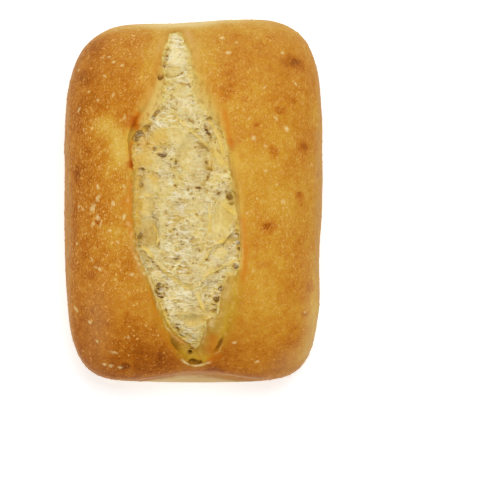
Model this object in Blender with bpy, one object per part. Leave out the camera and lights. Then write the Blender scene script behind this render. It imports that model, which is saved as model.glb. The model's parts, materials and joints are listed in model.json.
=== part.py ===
"""A whole white loaf, baked on its flat base: a rounded oblong whose top burst open along its length.

Lengths are metres and +Z is up. The origin lies on the table under the middle of the loaf.
+Y runs along the loaf to its far end, and +X to its right-hand side.
The loaf is one closed solid: crust outside, torn crumb where the cut opened in the oven.
"""

import math

import bmesh
import bpy
from mathutils import Vector, noise

MM = 0.001

# The loaf as a whole
LENGTH = 200.5 * MM
WIDTH = 142.5 * MM
HEIGHT = 72 * MM
BELLY_HEIGHT = 24 * MM  # where the loaf is widest
TUCK = 2.8 * MM  # how far the base edge lies inside the belly
TUCK_SQUARENESS = 2.4  # 2 rounds the base edge like an ellipse, more makes it tighter
NEAR_TAPER = 0.03  # the near end is narrower by this share
FAR_SKEW = 2.2 * MM  # the far end reaches further on the right, and less on the left, by this much
FAR_SKEW_START = 0.5  # as a share of the way from the middle of the loaf to its end
FAR_NOTCH = 1.3 * MM  # and it is drawn in by this much where the burst runs out over it
FAR_NOTCH_ACROSS = -9 * MM
FAR_NOTCH_WIDTH = 26 * MM
RIGHT_DENT = 1.5 * MM  # the right side is a little hollow
RIGHT_DENT_ALONG = -30 * MM
RIGHT_DENT_LENGTH = 17 * MM
SHOULDER_FALL = 2.5  # how late the dome starts to fall away from its middle
SHOULDER_DROP = 2.25  # how steeply it meets the belly
SHOULDER_CALM = 0.35  # below this share of the dome, the unevenness fades out towards the belly
MIDDLE_ROUNDNESS = 2.3  # exponent of the plan near the middle, close to an ellipse
# Exponent of the plan at the belly in each corner: (right?, far?) to squareness
CORNER_SQUARENESS = {
    (True, True): 5.0,
    (False, True): 4.5,
    (False, False): 5.6,
    (True, False): 5.7,
}

# Unevenness of the baked surface
SWELL_HEIGHT = 1.1 * MM
SWELL_SIZE = 38 * MM
DIMPLE_HEIGHT = 0.35 * MM
DIMPLE_SIZE = 11 * MM

# The burst. Each row is a place along the loaf and, from left to right across it there:
# the left lip of the crust, the left edge of the crumb, the right edge of the crumb, the right lip.
BURST = [
    (92.5 * MM, -12.6 * MM, -12.0 * MM, -7.2 * MM, -6.6 * MM),
    (85.0 * MM, -17.5 * MM, -15.5 * MM, -3.0 * MM, -1.0 * MM),
    (71.0 * MM, -21.0 * MM, -17.5 * MM, -1.5 * MM, 3.0 * MM),
    (58.0 * MM, -25.5 * MM, -16.5 * MM, 0.5 * MM, 9.0 * MM),
    (45.0 * MM, -31.0 * MM, -26.5 * MM, 9.0 * MM, 15.5 * MM),
    (30.0 * MM, -34.0 * MM, -32.5 * MM, 15.5 * MM, 20.0 * MM),
    (11.0 * MM, -34.0 * MM, -32.0 * MM, 20.5 * MM, 23.5 * MM),
    (-10.0 * MM, -34.0 * MM, -32.0 * MM, 24.0 * MM, 26.0 * MM),
    (-27.0 * MM, -32.0 * MM, -29.5 * MM, 24.5 * MM, 27.0 * MM),
    (-43.0 * MM, -26.5 * MM, -21.0 * MM, 18.5 * MM, 26.0 * MM),
    (-60.0 * MM, -21.0 * MM, -16.5 * MM, 9.0 * MM, 23.5 * MM),
    (-74.0 * MM, -15.0 * MM, -7.0 * MM, 3.0 * MM, 18.5 * MM),
    (-84.5 * MM, -8.0 * MM, -1.5 * MM, 0.5 * MM, 12.0 * MM),
    (-89.5 * MM, -2.5 * MM, -0.5 * MM, 0.5 * MM, 5.0 * MM),
]
BURST_DEPTH = 5.6 * MM  # from the crust's own line down to the torn floor, where the burst is wide
FULL_DEPTH_WIDTH = 40 * MM  # a narrower burst is shallower
FAR_SHARE = 0.42  # the share of the depth that is left towards the far end
FAR_SHALLOWS = (26 * MM, 56 * MM)  # the places along the loaf between which it grows shallow
RIGHT_SHARE = 0.5  # the share of the depth that is left along the right side
FLOOR_RISE = 1.5 * MM  # how far the floor swells up again along its middle
FLOOR_RISE_WIDTH = 10 * MM
NEAR_SINK = 3.4 * MM  # the crumb sinks in under the near rim
NEAR_SINK_ALONG = -82 * MM
NEAR_SINK_LENGTH = 11 * MM
LIP_RISE = 0.6 * MM  # the crust curls up where it tore
LIP_WIDTH = 4.5 * MM
OVERHANG = 2.6 * MM  # the crust overhangs the crumb by this much on its left side
OVERHANG_ALONG = 36 * MM
OVERHANG_LENGTH = 11 * MM
OVERHANG_WIDTH = 4 * MM
CRAG_HEIGHT = 0.7 * MM  # torn crumb is uneven at this height and size
CRAG_SIZE = 4.2 * MM

RIDGE_START = 0.25  # the share of its height that a ridge has at its two ends
RIDGE_TAPER = 6  # how fast it gains the rest from there
# Edges of skin and folds of crumb that stand on the torn floor: (points, height, half-width)
RIDGES = [
    ([(-20, 52), (-13, 49.5), (-4, 43), (3, 37), (8.5, 30), (12, 23)], 2.6, 1.5),
    ([(-33, -22), (-24, -32), (-14, -39.5), (-5, -45), (1, -49)], 2.4, 1.4),
    ([(24, -16), (16, -23), (8, -27.5), (3.5, -34)], 2.2, 1.3),
    ([(9.5, 13), (8.5, -2), (7, -18), (4, -31)], 1.4, 1.2),
    ([(1.5, -49), (7, -42), (14.5, -37.5), (21, -33.5)], 2.0, 1.4),
    ([(0, -49.5), (3.5, -56), (7.5, -63)], 1.5, 1.6),
    ([(-22, -45), (-18, -55), (-12.5, -66), (-5, -75)], 1.6, 1.3),
    ([(-24.5, -4), (-19.5, -11), (-18.5, -21)], 1.5, 1.1),
    ([(-25, 41), (-13, 40.5), (-3, 41)], 1.3, 1.4),
    ([(12, 50), (14, 41), (17, 31), (17.5, 20)], 1.8, 1.3),
]

HOLLOW_STEEPNESS = 0.7  # 0.5 gives an ellipsoid's steep rim, 1 a bowl
# Blown bubbles and torn pits in the floor: (middle, half-length, half-width, turn, depth)
HOLLOWS = [
    ((2.5, 24), 13.5, 11, 70, 4.6),
    ((-28, 33), 7.5, 4.5, 65, 4.0),
    ((-26, -2.5), 8.5, 5, 80, 3.0),
    ((-24, -17.5), 9.5, 6, 80, 3.6),
    ((17.5, -7), 11, 6.5, 100, 2.6),
    ((20, -24), 6, 4, 90, 3.0),
    ((-17.5, -50), 5.5, 3.2, 60, 3.2),
    ((12, -51), 6.5, 5.5, 60, 3.0),
    ((9.5, -60.5), 4, 3, 90, 3.0),
    ((0.5, -66.5), 6.5, 3.5, 0, 2.6),
    ((-10, 71), 5.5, 2.8, 10, 2.2),
    ((-6.5, 62), 6.5, 4, 0, 2.4),
    ((-9, 50.5), 4, 2.4, 155, 2.2),
    ((0, 43.5), 3.2, 3, 0, 2.2),
    ((8.5, 39.5), 5.5, 2.6, 110, 2.8),
    ((-10.5, -78.5), 5, 2.2, 120, 3.0),
    ((13.5, -79.5), 5, 2.0, 60, 3.0),
    ((-17.5, 26), 3.6, 2.4, 160, 2.4),
    ((20.5, 1), 3.6, 2.6, 100, 2.8),
    ((-29, 12), 3.6, 2.2, 90, 2.4),
]
PINHOLE = ((-18.2, 68.5), 1.8, 1.8, 0, 3.0)  # a burst blister in the left lip

# Where the burst runs out over each end of the loaf, the crust sinks in:
# (place across the loaf, half-width, share of the dome that is lost)
FAR_SADDLE = (-6 * MM, 17 * MM, 0.16)
NEAR_SADDLE = (3 * MM, 26 * MM, 0.34)
SADDLE_START = 0.62  # as a share of the way from the middle of the loaf to its end
# At the near end the wall is drawn in over the foot, which spreads and shows from above
WAIST_DEPTH = 6.0 * MM
FOOT_SPREAD = 1.3 * MM
WAIST_ACROSS = 4 * MM
WAIST_WIDTH = 30 * MM
WAIST_REACH = (0.80, 0.97)  # where it begins and is full, as shares of the way to the end
WAIST_RISE = (0, 17 * MM)  # the heights between which it grows
WAIST_FALL = (44 * MM, 27 * MM)  # and those between which it fades into the crust above

# A loose tag of crust on the left wall
TAG = Vector((-70.5, 29.5, 27.0)) * MM
TAG_SIZE = 3.0 * MM
TAG_RISE = 1.6 * MM

# The mesh
PLAN_ROUNDS = 12  # rounds that settle a point's place in plan
CELLS_ACROSS = 28
CELLS_ALONG = 40
WALL_RINGS = 5
BURST_MARGIN = 2.5 * MM  # the net is finer this far past the lips
RIDGE_MARGIN = 1.3 * MM  # and finer again this near a ridge

# Finishes: colour, roughness
CRUST = ((0.56, 0.27, 0.055), 0.45)
CRUMB = ((0.72, 0.58, 0.30), 0.8)


def ramp(low, high, value):
    """0 at low and 1 at high, smooth at both ends. Low may be the larger of the two."""
    t = min(1.0, max(0.0, (value - low) / (high - low)))
    return t * t * (3 - 2 * t)


def bell(offset, width):
    """1 at no offset, falling smoothly to nothing past a few widths."""
    return math.exp(-((offset / width) ** 2))


def slope_at(row, line):
    """How fast one line of the burst moves across the loaf at one of the rows."""
    before = BURST[max(0, row - 1)]
    after = BURST[min(len(BURST) - 1, row + 1)]
    return (after[line] - before[line]) / (after[0] - before[0])


def burst_across(y):
    """The four lines of the burst at a place along the loaf: left lip, left crumb, right crumb, right lip."""
    y = min(BURST[0][0], max(BURST[-1][0], y))
    row = next(i for i, later in enumerate(BURST[1:]) if later[0] <= y)
    start = BURST[row]
    end = BURST[row + 1]
    run = end[0] - start[0]
    t = (y - start[0]) / run
    # Each line is a smooth cubic through its rows, with the slope that its neighbours give it there
    rise = t * t * (3 - 2 * t)
    leave = run * t * (1 - t) ** 2
    arrive = -run * t * t * (1 - t)
    return [
        start[i] + (end[i] - start[i]) * rise + slope_at(row, i) * leave + slope_at(row + 1, i) * arrive
        for i in range(1, 5)
    ]


def in_burst(x, y, margin=0.0):
    """True inside the lips of the crust, widened by the margin."""
    edges = burst_across(y)
    between_ends = BURST[-1][0] - margin <= y <= BURST[0][0] + margin
    return between_ends and edges[0] - margin < x < edges[3] + margin


def distance_to_path(x, y, path):
    """Distance from a point to a broken line, and how far along the line that is, from 0 to 1."""
    here = Vector((x, y))
    nearest = (1.0, 0.0)
    for index, (start, end) in enumerate(zip(path, path[1:])):
        start = Vector(start) * MM
        run = Vector(end) * MM - start
        t = min(1.0, max(0.0, (here - start).dot(run) / run.length_squared))
        nearest = min(nearest, ((here - start - run * t).length, (index + t) / (len(path) - 1)))
    return nearest


def hollow_depth(x, y, hollow):
    """How far one rounded pit sinks the surface at a point."""
    (middle_x, middle_y), half_length, half_width, turn, depth = hollow
    angle = math.radians(turn)
    dx = x - middle_x * MM
    dy = y - middle_y * MM
    along = (dx * math.cos(angle) + dy * math.sin(angle)) / (half_length * MM)
    across = (dy * math.cos(angle) - dx * math.sin(angle)) / (half_width * MM)
    inside = max(0.0, 1 - along**2 - across**2)
    return depth * MM * inside**HOLLOW_STEEPNESS


def ridge_height(x, y):
    """Height of the folds and skin edges at a point of the torn floor."""
    height = 0.0
    for path, tall, half_width in RIDGES:
        distance, t = distance_to_path(x, y, path)
        ends = min(1.0, RIDGE_START + RIDGE_TAPER * min(t, 1 - t))
        height = max(height, tall * MM * ends * bell(distance, half_width * MM))
    return height


def burst_relief(x, y):
    """What the burst adds to the height of the crust's own line: below 0 inside it, above 0 at its lips."""
    left_lip, left_crumb, right_crumb, right_lip = burst_across(y)
    past_end = max(0.0, y - BURST[0][0], BURST[-1][0] - y)
    outside = max(left_lip - x, x - right_lip, 0.0) + past_end
    if outside > 0:
        return LIP_RISE * bell(outside, LIP_WIDTH) - hollow_depth(x, y, PINHOLE)
    sunk = min(ramp(left_lip, left_crumb, x), ramp(right_lip, right_crumb, x))
    middle = (left_crumb + right_crumb) / 2
    tilt = 1 - (1 - RIGHT_SHARE) * ramp(left_crumb, right_crumb, x)
    floor = BURST_DEPTH * tilt - FLOOR_RISE * bell(x - middle, FLOOR_RISE_WIDTH)
    floor *= ramp(0, FULL_DEPTH_WIDTH, right_lip - left_lip) * (1 - (1 - FAR_SHARE) * ramp(*FAR_SHALLOWS, y))
    floor += NEAR_SINK * bell(y - NEAR_SINK_ALONG, NEAR_SINK_LENGTH)
    crumb = sum(hollow_depth(x, y, hollow) for hollow in HOLLOWS) - ridge_height(x, y)
    crumb += CRAG_HEIGHT * noise.noise(Vector((x, y, 0)) / CRAG_SIZE)
    lip = LIP_RISE * (1 - sunk)
    return lip - sunk * (floor + crumb) - hollow_depth(x, y, PINHOLE)


def unevenness(point):
    """Slow swells and small dimples that every baked crust has."""
    swell = noise.noise(point / SWELL_SIZE) * SWELL_HEIGHT
    return swell + noise.noise(point / DIMPLE_SIZE) * DIMPLE_HEIGHT


def saddle_share(x, y):
    """The share of the dome's height that is left at a point near an end of the loaf."""
    across, half_width, share = FAR_SADDLE if y > 0 else NEAR_SADDLE
    reach = ramp(SADDLE_START, 1.0, abs(y) / (LENGTH / 2))
    return 1 - share * reach * bell(x - across, half_width)


def squareness_at(x, y, out):
    """Exponent of the plan there: near an ellipse in the middle, squarer towards the belly."""
    corner = CORNER_SQUARENESS[(x > 0, y > 0)]
    return MIDDLE_ROUNDNESS + (corner - MIDDLE_ROUNDNESS) * out**2


def half_width_at(y):
    """Half of the loaf's width at a place along it, before its corners are rounded."""
    return WIDTH / 2 * (1 - NEAR_TAPER * ramp(0.0, -LENGTH / 2, y))


def plan_point(u, v):
    """Where a point of the unit square lies in plan."""
    ring = max(abs(u), abs(v))
    if ring == 0:
        return 0.0, 0.0
    out = math.sin(ring * math.pi / 2)
    toward_x = u / ring
    toward_y = v / ring
    squareness = squareness_at(u, v, out)
    reach = (abs(toward_x) ** squareness + abs(toward_y) ** squareness) ** (-1 / squareness)
    y = out * LENGTH / 2 * toward_y * reach
    return out * half_width_at(y) * toward_x * reach, y


def how_far_out(x, y):
    """0 in the middle of the loaf and 1 on the belly's outline. The exponent depends on the answer."""
    out = 0.5
    for _ in range(PLAN_ROUNDS):
        squareness = squareness_at(x, y, out)
        across = abs(x / half_width_at(y)) ** squareness
        along = abs(y / (LENGTH / 2)) ** squareness
        out = min(1.0, (across + along) ** (1 / squareness))
    return out


def dented(x, y):
    """The shift across the loaf that makes the right side hollow."""
    return -RIGHT_DENT * ramp(0.0, WIDTH / 2, x) * bell(y - RIGHT_DENT_ALONG, RIGHT_DENT_LENGTH)


def pulled(x, y, height):
    """The shift along the loaf: the near wall's waist over its foot, and the far end's skew and notch."""
    if y > 0:
        shift = FAR_SKEW * x / (WIDTH / 2) - FAR_NOTCH * bell(x - FAR_NOTCH_ACROSS, FAR_NOTCH_WIDTH)
        return shift * ramp(FAR_SKEW_START, 1.0, y / (LENGTH / 2))
    nearness = ramp(*WAIST_REACH, -y / (LENGTH / 2))
    rise = ramp(*WAIST_RISE, height)
    shift = WAIST_DEPTH * rise * ramp(*WAIST_FALL, height) - FOOT_SPREAD * (1 - rise)
    return shift * nearness * bell(x - WAIST_ACROSS, WAIST_WIDTH)


def under_lip(x, y):
    """How far the torn floor reaches under the left lip, where the crust overhangs it."""
    left_lip, left_crumb, _, _ = burst_across(y)
    if x <= left_lip:
        return 0.0
    return OVERHANG * bell(y - OVERHANG_ALONG, OVERHANG_LENGTH) * bell(x - left_crumb, OVERHANG_WIDTH)


def top_point(x, y):
    """A point of the upper crust or the torn crumb, from the belly upwards."""
    out = how_far_out(x, y)
    dome = (1 - out**SHOULDER_FALL) ** (1 / SHOULDER_DROP)
    z = BELLY_HEIGHT + (HEIGHT - BELLY_HEIGHT) * dome * saddle_share(x, y)
    z += ramp(0.0, SHOULDER_CALM, dome) * (burst_relief(x, y) + unevenness(Vector((x, y, z))))
    return Vector((x - under_lip(x, y) + dented(x, y), y + pulled(x, y, z), z))


def wall_point(x, y, share):
    """A point of the wall between the belly, at share 0, and the base edge, at share 1."""
    angle = share * math.pi / 2
    height = BELLY_HEIGHT * (1 - math.sin(angle) ** (2 / TUCK_SQUARENESS))
    inset = TUCK * (1 - math.cos(angle) ** (2 / TUCK_SQUARENESS))
    inward = Vector((-x, -y, 0)).normalized()
    point = Vector((x, y, height)) + inward * inset
    point.x += dented(x, y)
    point.y += pulled(x, y, height)
    return point


def loaf_point(place):
    """The real place of a net point: x and y are its place in plan, and -z the share of the wall above it."""
    share = -place.z
    point = wall_point(place.x, place.y, share) if share > 0 else top_point(place.x, place.y)
    return point + Vector((-TAG_RISE * bell((point - TAG).length, TAG_SIZE), 0, 0))


def near_ridge(place):
    """True close to a fold or a skin edge of the torn floor."""
    if not in_burst(place.x, place.y):
        return False
    return any(distance_to_path(place.x, place.y, path)[0] < RIDGE_MARGIN for path, _, _ in RIDGES)


def refine(net, wanted):
    """Halves the edges whose middle is wanted, so that the net is finer there."""
    edges = [e for e in net.edges if wanted((e.verts[0].co + e.verts[1].co) / 2)]
    bmesh.ops.subdivide_edges(net, edges=edges, cuts=1, use_grid_fill=True)


def snap_to_line(net, which):
    """Moves the nearest net points onto one of the burst's four lines, and joins them along it."""
    moves = {}
    for edge in net.edges:
        ends = edge.verts
        if not all(BURST[-1][0] <= end.co.y <= BURST[0][0] for end in ends):
            continue
        offsets = [end.co.x - burst_across(end.co.y)[which] for end in ends]
        if offsets[0] * offsets[1] >= 0:
            continue
        t = offsets[0] / (offsets[0] - offsets[1])
        crossing = ends[0].co.lerp(ends[1].co, t)
        nearest = ends[0] if t < 0.5 else ends[1]
        travel = (crossing - nearest.co).length
        if nearest not in moves or travel < moves[nearest][0]:
            moves[nearest] = (travel, crossing)
    for point, (_, crossing) in moves.items():
        point.co = crossing
    bmesh.ops.connect_verts(net, verts=list(moves))


def lay_out_net():
    """The top of the loaf in plan, finer in the burst, with the wall's rings hung below its rim."""
    net = bmesh.new()
    bmesh.ops.create_grid(net, x_segments=CELLS_ACROSS, y_segments=CELLS_ALONG, size=1)
    for point in net.verts:
        point.co.xy = plan_point(point.co.x, point.co.y)
    refine(net, lambda place: in_burst(place.x, place.y, BURST_MARGIN))
    refine(net, lambda place: in_burst(place.x, place.y, BURST_MARGIN))
    refine(net, near_ridge)
    for line in range(4):
        snap_to_line(net, line)
    rim = [e for e in net.edges if e.is_boundary]
    for _ in range(WALL_RINGS):
        hung = bmesh.ops.extrude_edge_only(net, edges=rim)["geom"]
        points = [item for item in hung if isinstance(item, bmesh.types.BMVert)]
        bmesh.ops.translate(net, verts=points, vec=(0, 0, -1 / WALL_RINGS))
        rim = [item for item in hung if isinstance(item, bmesh.types.BMEdge) and item.is_boundary]
    bmesh.ops.contextual_create(net, geom=rim)
    return net


def finish(name, colour, roughness):
    """A plain material with one colour and roughness."""
    material = bpy.data.materials.new(name)
    material.use_nodes = True
    shader = material.node_tree.nodes["Principled BSDF"]
    shader.inputs["Base Color"].default_value = (*colour, 1)
    shader.inputs["Roughness"].default_value = roughness
    shader.inputs["Metallic"].default_value = 0
    return material


def paint_crumb(net):
    """Gives the faces of the flat net that lie inside the lips the crumb's material, which is slot 1."""
    for face in net.faces:
        middle = face.calc_center_median()
        face.material_index = 1 if middle.z == 0 and in_burst(middle.x, middle.y) else 0


def build_loaf():
    """The whole loaf as one closed mesh object."""
    net = lay_out_net()
    paint_crumb(net)
    for point in net.verts:
        point.co = loaf_point(point.co)
    bmesh.ops.recalc_face_normals(net, faces=net.faces)
    bmesh.ops.triangulate(net, faces=net.faces, quad_method="SHORT_EDGE", ngon_method="BEAUTY")
    mesh = bpy.data.meshes.new("loaf")
    net.to_mesh(mesh)
    net.free()
    mesh.materials.append(finish("crust", *CRUST))
    mesh.materials.append(finish("crumb", *CRUMB))
    mesh.shade_smooth()
    loaf = bpy.data.objects.new("loaf", mesh)
    bpy.context.scene.collection.objects.link(loaf)
    return loaf


def clear_scene():
    """Removes whatever the scene holds at the start."""
    for thing in list(bpy.data.objects):
        bpy.data.objects.remove(thing)


clear_scene()
build_loaf()
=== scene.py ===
# %% [markdown]
# # A whole white loaf that burst open along its top
#
# The loaf comes from the oven as one piece of dough: a thin golden crust outside and, where the cut opened,
# torn crumb. The solid that carries it is already at its real size and place, so this lesson never moves
# it. It copies the solid's surface, makes the copy fine, and models on it what the oven and the tearing
# did.

# %% Load the fixed frame
import json
import math

import bpy
import numpy as np
from mathutils import Matrix, Vector

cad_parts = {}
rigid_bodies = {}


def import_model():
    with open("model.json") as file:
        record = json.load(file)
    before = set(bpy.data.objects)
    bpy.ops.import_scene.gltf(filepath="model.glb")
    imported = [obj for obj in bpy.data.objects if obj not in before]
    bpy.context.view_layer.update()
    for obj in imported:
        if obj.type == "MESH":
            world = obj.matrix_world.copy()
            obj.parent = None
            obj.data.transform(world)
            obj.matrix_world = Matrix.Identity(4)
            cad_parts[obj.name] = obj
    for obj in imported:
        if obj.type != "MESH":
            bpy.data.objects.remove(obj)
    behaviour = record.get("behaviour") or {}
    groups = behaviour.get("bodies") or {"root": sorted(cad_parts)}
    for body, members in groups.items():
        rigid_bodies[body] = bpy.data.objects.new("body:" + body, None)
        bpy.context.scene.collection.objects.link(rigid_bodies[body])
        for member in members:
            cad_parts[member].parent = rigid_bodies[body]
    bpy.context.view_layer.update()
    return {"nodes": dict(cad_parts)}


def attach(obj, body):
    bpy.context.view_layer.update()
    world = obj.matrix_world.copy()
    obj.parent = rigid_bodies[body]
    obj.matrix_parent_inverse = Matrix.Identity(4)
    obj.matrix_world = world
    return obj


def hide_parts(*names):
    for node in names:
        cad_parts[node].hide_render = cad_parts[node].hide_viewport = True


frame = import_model()
MM = 0.001

# %% [markdown]
# ## The camera
#
# The photograph looks straight down on the loaf, from far off, tilted by only a few degrees towards its
# near end. One pixel of the photograph is a little over half a millimetre of loaf. The camera stands over
# the middle of the loaf and looks past it, to the point that lies in the middle of the picture.

# %% Camera
PICTURE_SIDE = 490  # pixels
PIXEL = 0.55 * MM  # the size of a pixel on the loaf
LOAF_MIDDLE_PX = (193.5, 201.0)
CAMERA_HEIGHT = 2.4
CAMERA_ELEVATION = math.radians(87.2)
LEVEL = 30 * MM  # the height on the loaf at which a pixel has the size above
SENSOR = 36.0
NEAREST_DRAWN = 0.05
TO_FAR_END = Vector((0, 1, 0))


def deselect_all():
    """Leaves nothing selected, so that the next operator acts only on what it is meant for."""
    if bpy.context.object and bpy.context.object.mode != "OBJECT":
        bpy.ops.object.mode_set(mode="OBJECT")
    bpy.ops.object.select_all(action="DESELECT")


def make_camera():
    """A long lens almost straight above the loaf, with the loaf's far end at the top of the picture."""
    aim = Vector((
        (PICTURE_SIDE / 2 - LOAF_MIDDLE_PX[0]) * PIXEL,
        (LOAF_MIDDLE_PX[1] - PICTURE_SIDE / 2) * PIXEL,
        LEVEL,
    ))
    back = Vector((0, -math.cos(CAMERA_ELEVATION), math.sin(CAMERA_ELEVATION)))
    place = Vector((0, 0, LEVEL)) + back * CAMERA_HEIGHT
    forward = (aim - place).normalized()
    right = forward.cross(TO_FAR_END).normalized()
    up = right.cross(forward)
    deselect_all()
    bpy.ops.object.camera_add(location=place)
    camera = bpy.context.object
    camera.rotation_euler = Matrix((right, up, -forward)).transposed().to_euler()
    camera.data.sensor_width = SENSOR
    camera.data.lens = SENSOR * (aim - place).length / (PICTURE_SIDE * PIXEL)
    camera.data.clip_start = NEAREST_DRAWN
    bpy.context.scene.camera = camera
    return camera


camera = make_camera()
print(f"A {camera.data.lens:.0f} mm lens, {CAMERA_HEIGHT} m above the loaf")

# %% [markdown]
# ## The dough: one fine skin over the solid
#
# The solid's mesh is loose triangles, coarse on the crust and finer in the burst. A copy of it is merged,
# rounded by one subdivision, and then remeshed with cubes of about half a millimetre. That gives even cells
# everywhere, small enough for blisters and for the cells of the crumb, and it leaves the solid itself
# alone.

# %% Copy, merge and remesh the solid's surface
CELL = 0.55 * MM
MERGE = 0.001 * MM
SMOOTHING, SMOOTHING_ROUNDS = 0.5, 2


def select_only(piece):
    """Leaves one piece selected, as the one that the next operator acts on."""
    deselect_all()
    piece.select_set(True)
    bpy.context.view_layer.objects.active = piece


def apply_modifier(piece, kind, **settings):
    """Adds one modifier with these settings to the piece and applies it."""
    select_only(piece)
    modifier = piece.modifiers.new(kind.title(), kind)
    for name, value in settings.items():
        setattr(modifier, name, value)
    bpy.ops.object.modifier_apply(modifier=modifier.name)


def rows_of(piece, field):
    """What a piece's points hold under this name, as one row of three numbers each."""
    flat = np.empty(len(piece.data.vertices) * 3, np.float32)
    piece.data.vertices.foreach_get(field, flat)
    return flat.reshape(-1, 3).astype(float)


def points_of(piece):
    """The places of a piece's points."""
    return rows_of(piece, "co")


def normals_of(piece):
    """The directions in which a piece's surface faces at its points."""
    return rows_of(piece, "normal")


def move_points(piece, places):
    """Puts a piece's points at new places."""
    piece.data.vertices.foreach_set("co", places.astype(np.float32).ravel())
    piece.data.update()


def copy_solid(name):
    """A merged copy of the solid, as an object of its own."""
    copy = bpy.data.objects.new(name, frame["nodes"]["loaf"].data.copy())
    bpy.context.scene.collection.objects.link(copy)
    select_only(copy)
    bpy.ops.object.mode_set(mode="EDIT")
    bpy.ops.mesh.select_all(action="SELECT")
    bpy.ops.mesh.remove_doubles(threshold=MERGE)
    bpy.ops.object.mode_set(mode="OBJECT")
    copy.data.materials.clear()
    return copy


dough = copy_solid("dough")
apply_modifier(dough, "SUBSURF", levels=1, render_levels=1)
apply_modifier(dough, "REMESH", mode="VOXEL", voxel_size=CELL, adaptivity=0.0)
apply_modifier(dough, "SMOOTH", factor=SMOOTHING, iterations=SMOOTHING_ROUNDS)
print(f"The dough's skin has {len(dough.data.polygons)} cells of {CELL / MM} mm")

# %% [markdown]
# ## Where the burst lies
#
# A baker cuts the loaf once along its length. In the oven the cut opens, widest a little behind the middle,
# and runs out to a point at the far end. These are the solid's own lips: a place along the loaf and, across
# it there, the left and the right lip of the crust. Between a lip and the torn crumb lies a smooth skin
# that stretched as the cut opened.

# %% The lips of the burst
LIPS = np.array([
    (92.5, -12.6, -6.6),
    (85.0, -17.5, -1.0),
    (71.0, -21.0, 3.0),
    (58.0, -25.5, 9.0),
    (45.0, -31.0, 15.5),
    (30.0, -34.0, 20.0),
    (11.0, -34.0, 23.5),
    (-10.0, -34.0, 26.0),
    (-27.0, -32.0, 27.0),
    (-43.0, -26.5, 26.0),
    (-60.0, -21.0, 23.5),
    (-74.0, -15.0, 18.5),
    (-84.5, -8.0, 12.0),
    (-89.5, -2.5, 5.0),
]) * MM


def ramp(low, high, values):
    """0 at low and 1 at high, smooth at both ends. Low may be the larger of the two."""
    t = np.clip((np.asarray(values, float) - low) / (high - low), 0, 1)
    return t * t * (3 - 2 * t)


def bell(offsets, width):
    """1 at no offset, falling smoothly to nothing past a few widths."""
    return np.exp(-((np.asarray(offsets, float) / width) ** 2))


def lips_at(y):
    """The left and the right lip at each place along the loaf, as smooth curves through their rows."""
    rows = LIPS[::-1]
    along = rows[:, 0]
    slopes = np.gradient(rows, along, axis=0)
    y = np.clip(y, along[0], along[-1])
    row = np.clip(np.searchsorted(along, y) - 1, 0, len(along) - 2)
    run = along[row + 1] - along[row]
    t = (y - along[row]) / run
    curves = []
    for lip in (1, 2):
        start, end = rows[row, lip], rows[row + 1, lip]
        curve = start + (end - start) * t * t * (3 - 2 * t)
        curve += slopes[row, lip] * run * t * (1 - t) ** 2 - slopes[row + 1, lip] * run * t * t * (1 - t)
        curves.append(curve)
    return curves


widths = LIPS[:, 2] - LIPS[:, 1]
print(f"The burst is {widths.max() / MM:.0f} mm at its widest and {np.ptp(LIPS[:, 0]) / MM:.0f} mm long")

# %% [markdown]
# ## Two kinds of noise
#
# Bread is uneven at every size, so its relief is built from noise. Smooth noise wanders up and down, for
# swells and torn edges. Cell noise scatters one point in each small cube of space and tells how far the
# nearest and the second nearest lie: where the two are equal is the wall between two cells, as in foam.
# Both are worked out from the place alone, so the loaf comes out the same on every run.

# %% Smooth noise and cell noise
NEIGHBOURS = np.array([(i, j, k) for i in (-1, 0, 1) for j in (-1, 0, 1) for k in (-1, 0, 1)])
CORNERS = np.array([(i, j, k) for i in (0, 1) for j in (0, 1) for k in (0, 1)])
AXIS_KEYS = np.array([73856093, 19349663, 83492791], np.uint32)  # large primes mix the three axes
SEED_KEY, SEED_START = 40503, 977
SHIFTS = (16, 13, 16)
MIXER = np.uint32(0x45D9F3B)
NUMBER_BITS = 24
TOO_FAR = 9.0  # in cells, further than a nearest centre can be
STEP_SEEDS = 10  # seeds kept free for each step of a wander
TEST_SIZE, TEST_EVERY = 5 * MM, 500


def scramble(cubes, seed):
    """A repeatable random number from 0 to 1 for each cube of space."""
    mixed = cubes.astype(np.uint32) * AXIS_KEYS
    number = mixed[..., 0] ^ mixed[..., 1] ^ mixed[..., 2] ^ np.uint32(seed * SEED_KEY + SEED_START)
    for shift in SHIFTS:
        number = (number ^ (number >> np.uint32(shift))) * MIXER
    return (number >> np.uint32(32 - NUMBER_BITS)) / float(1 << NUMBER_BITS)


def smooth_noise(places, size, seed):
    """Smooth noise from -1 to 1 whose swells are about this size, one size or one for each direction."""
    grid = places / size
    cube = np.floor(grid).astype(np.int64)
    part = grid - cube
    part = part * part * (3 - 2 * part)
    total = np.zeros(len(places))
    for corner in CORNERS:
        share = np.prod(np.where(corner, part, 1 - part), axis=1)
        total += share * scramble(cube + corner, seed)
    return total * 2 - 1


def cell_noise(places, size, seed):
    """How far the two nearest cell centres lie, in cells, and the nearest one's own number."""
    grid = places / size
    cube = np.floor(grid).astype(np.int64)
    nearest = np.full(len(places), TOO_FAR)
    second = np.full(len(places), TOO_FAR)
    own = np.zeros(len(places))
    for step in NEIGHBOURS:
        there = cube + step
        centre = there + np.stack([scramble(there, seed + axis) for axis in (1, 2, 3)], axis=1)
        distance = np.linalg.norm(grid - centre, axis=1)
        closer = distance < nearest
        second = np.where(closer, nearest, np.minimum(second, distance))
        own = np.where(closer, scramble(there, seed), own)
        nearest = np.minimum(nearest, distance)
    return nearest, second, own


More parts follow.
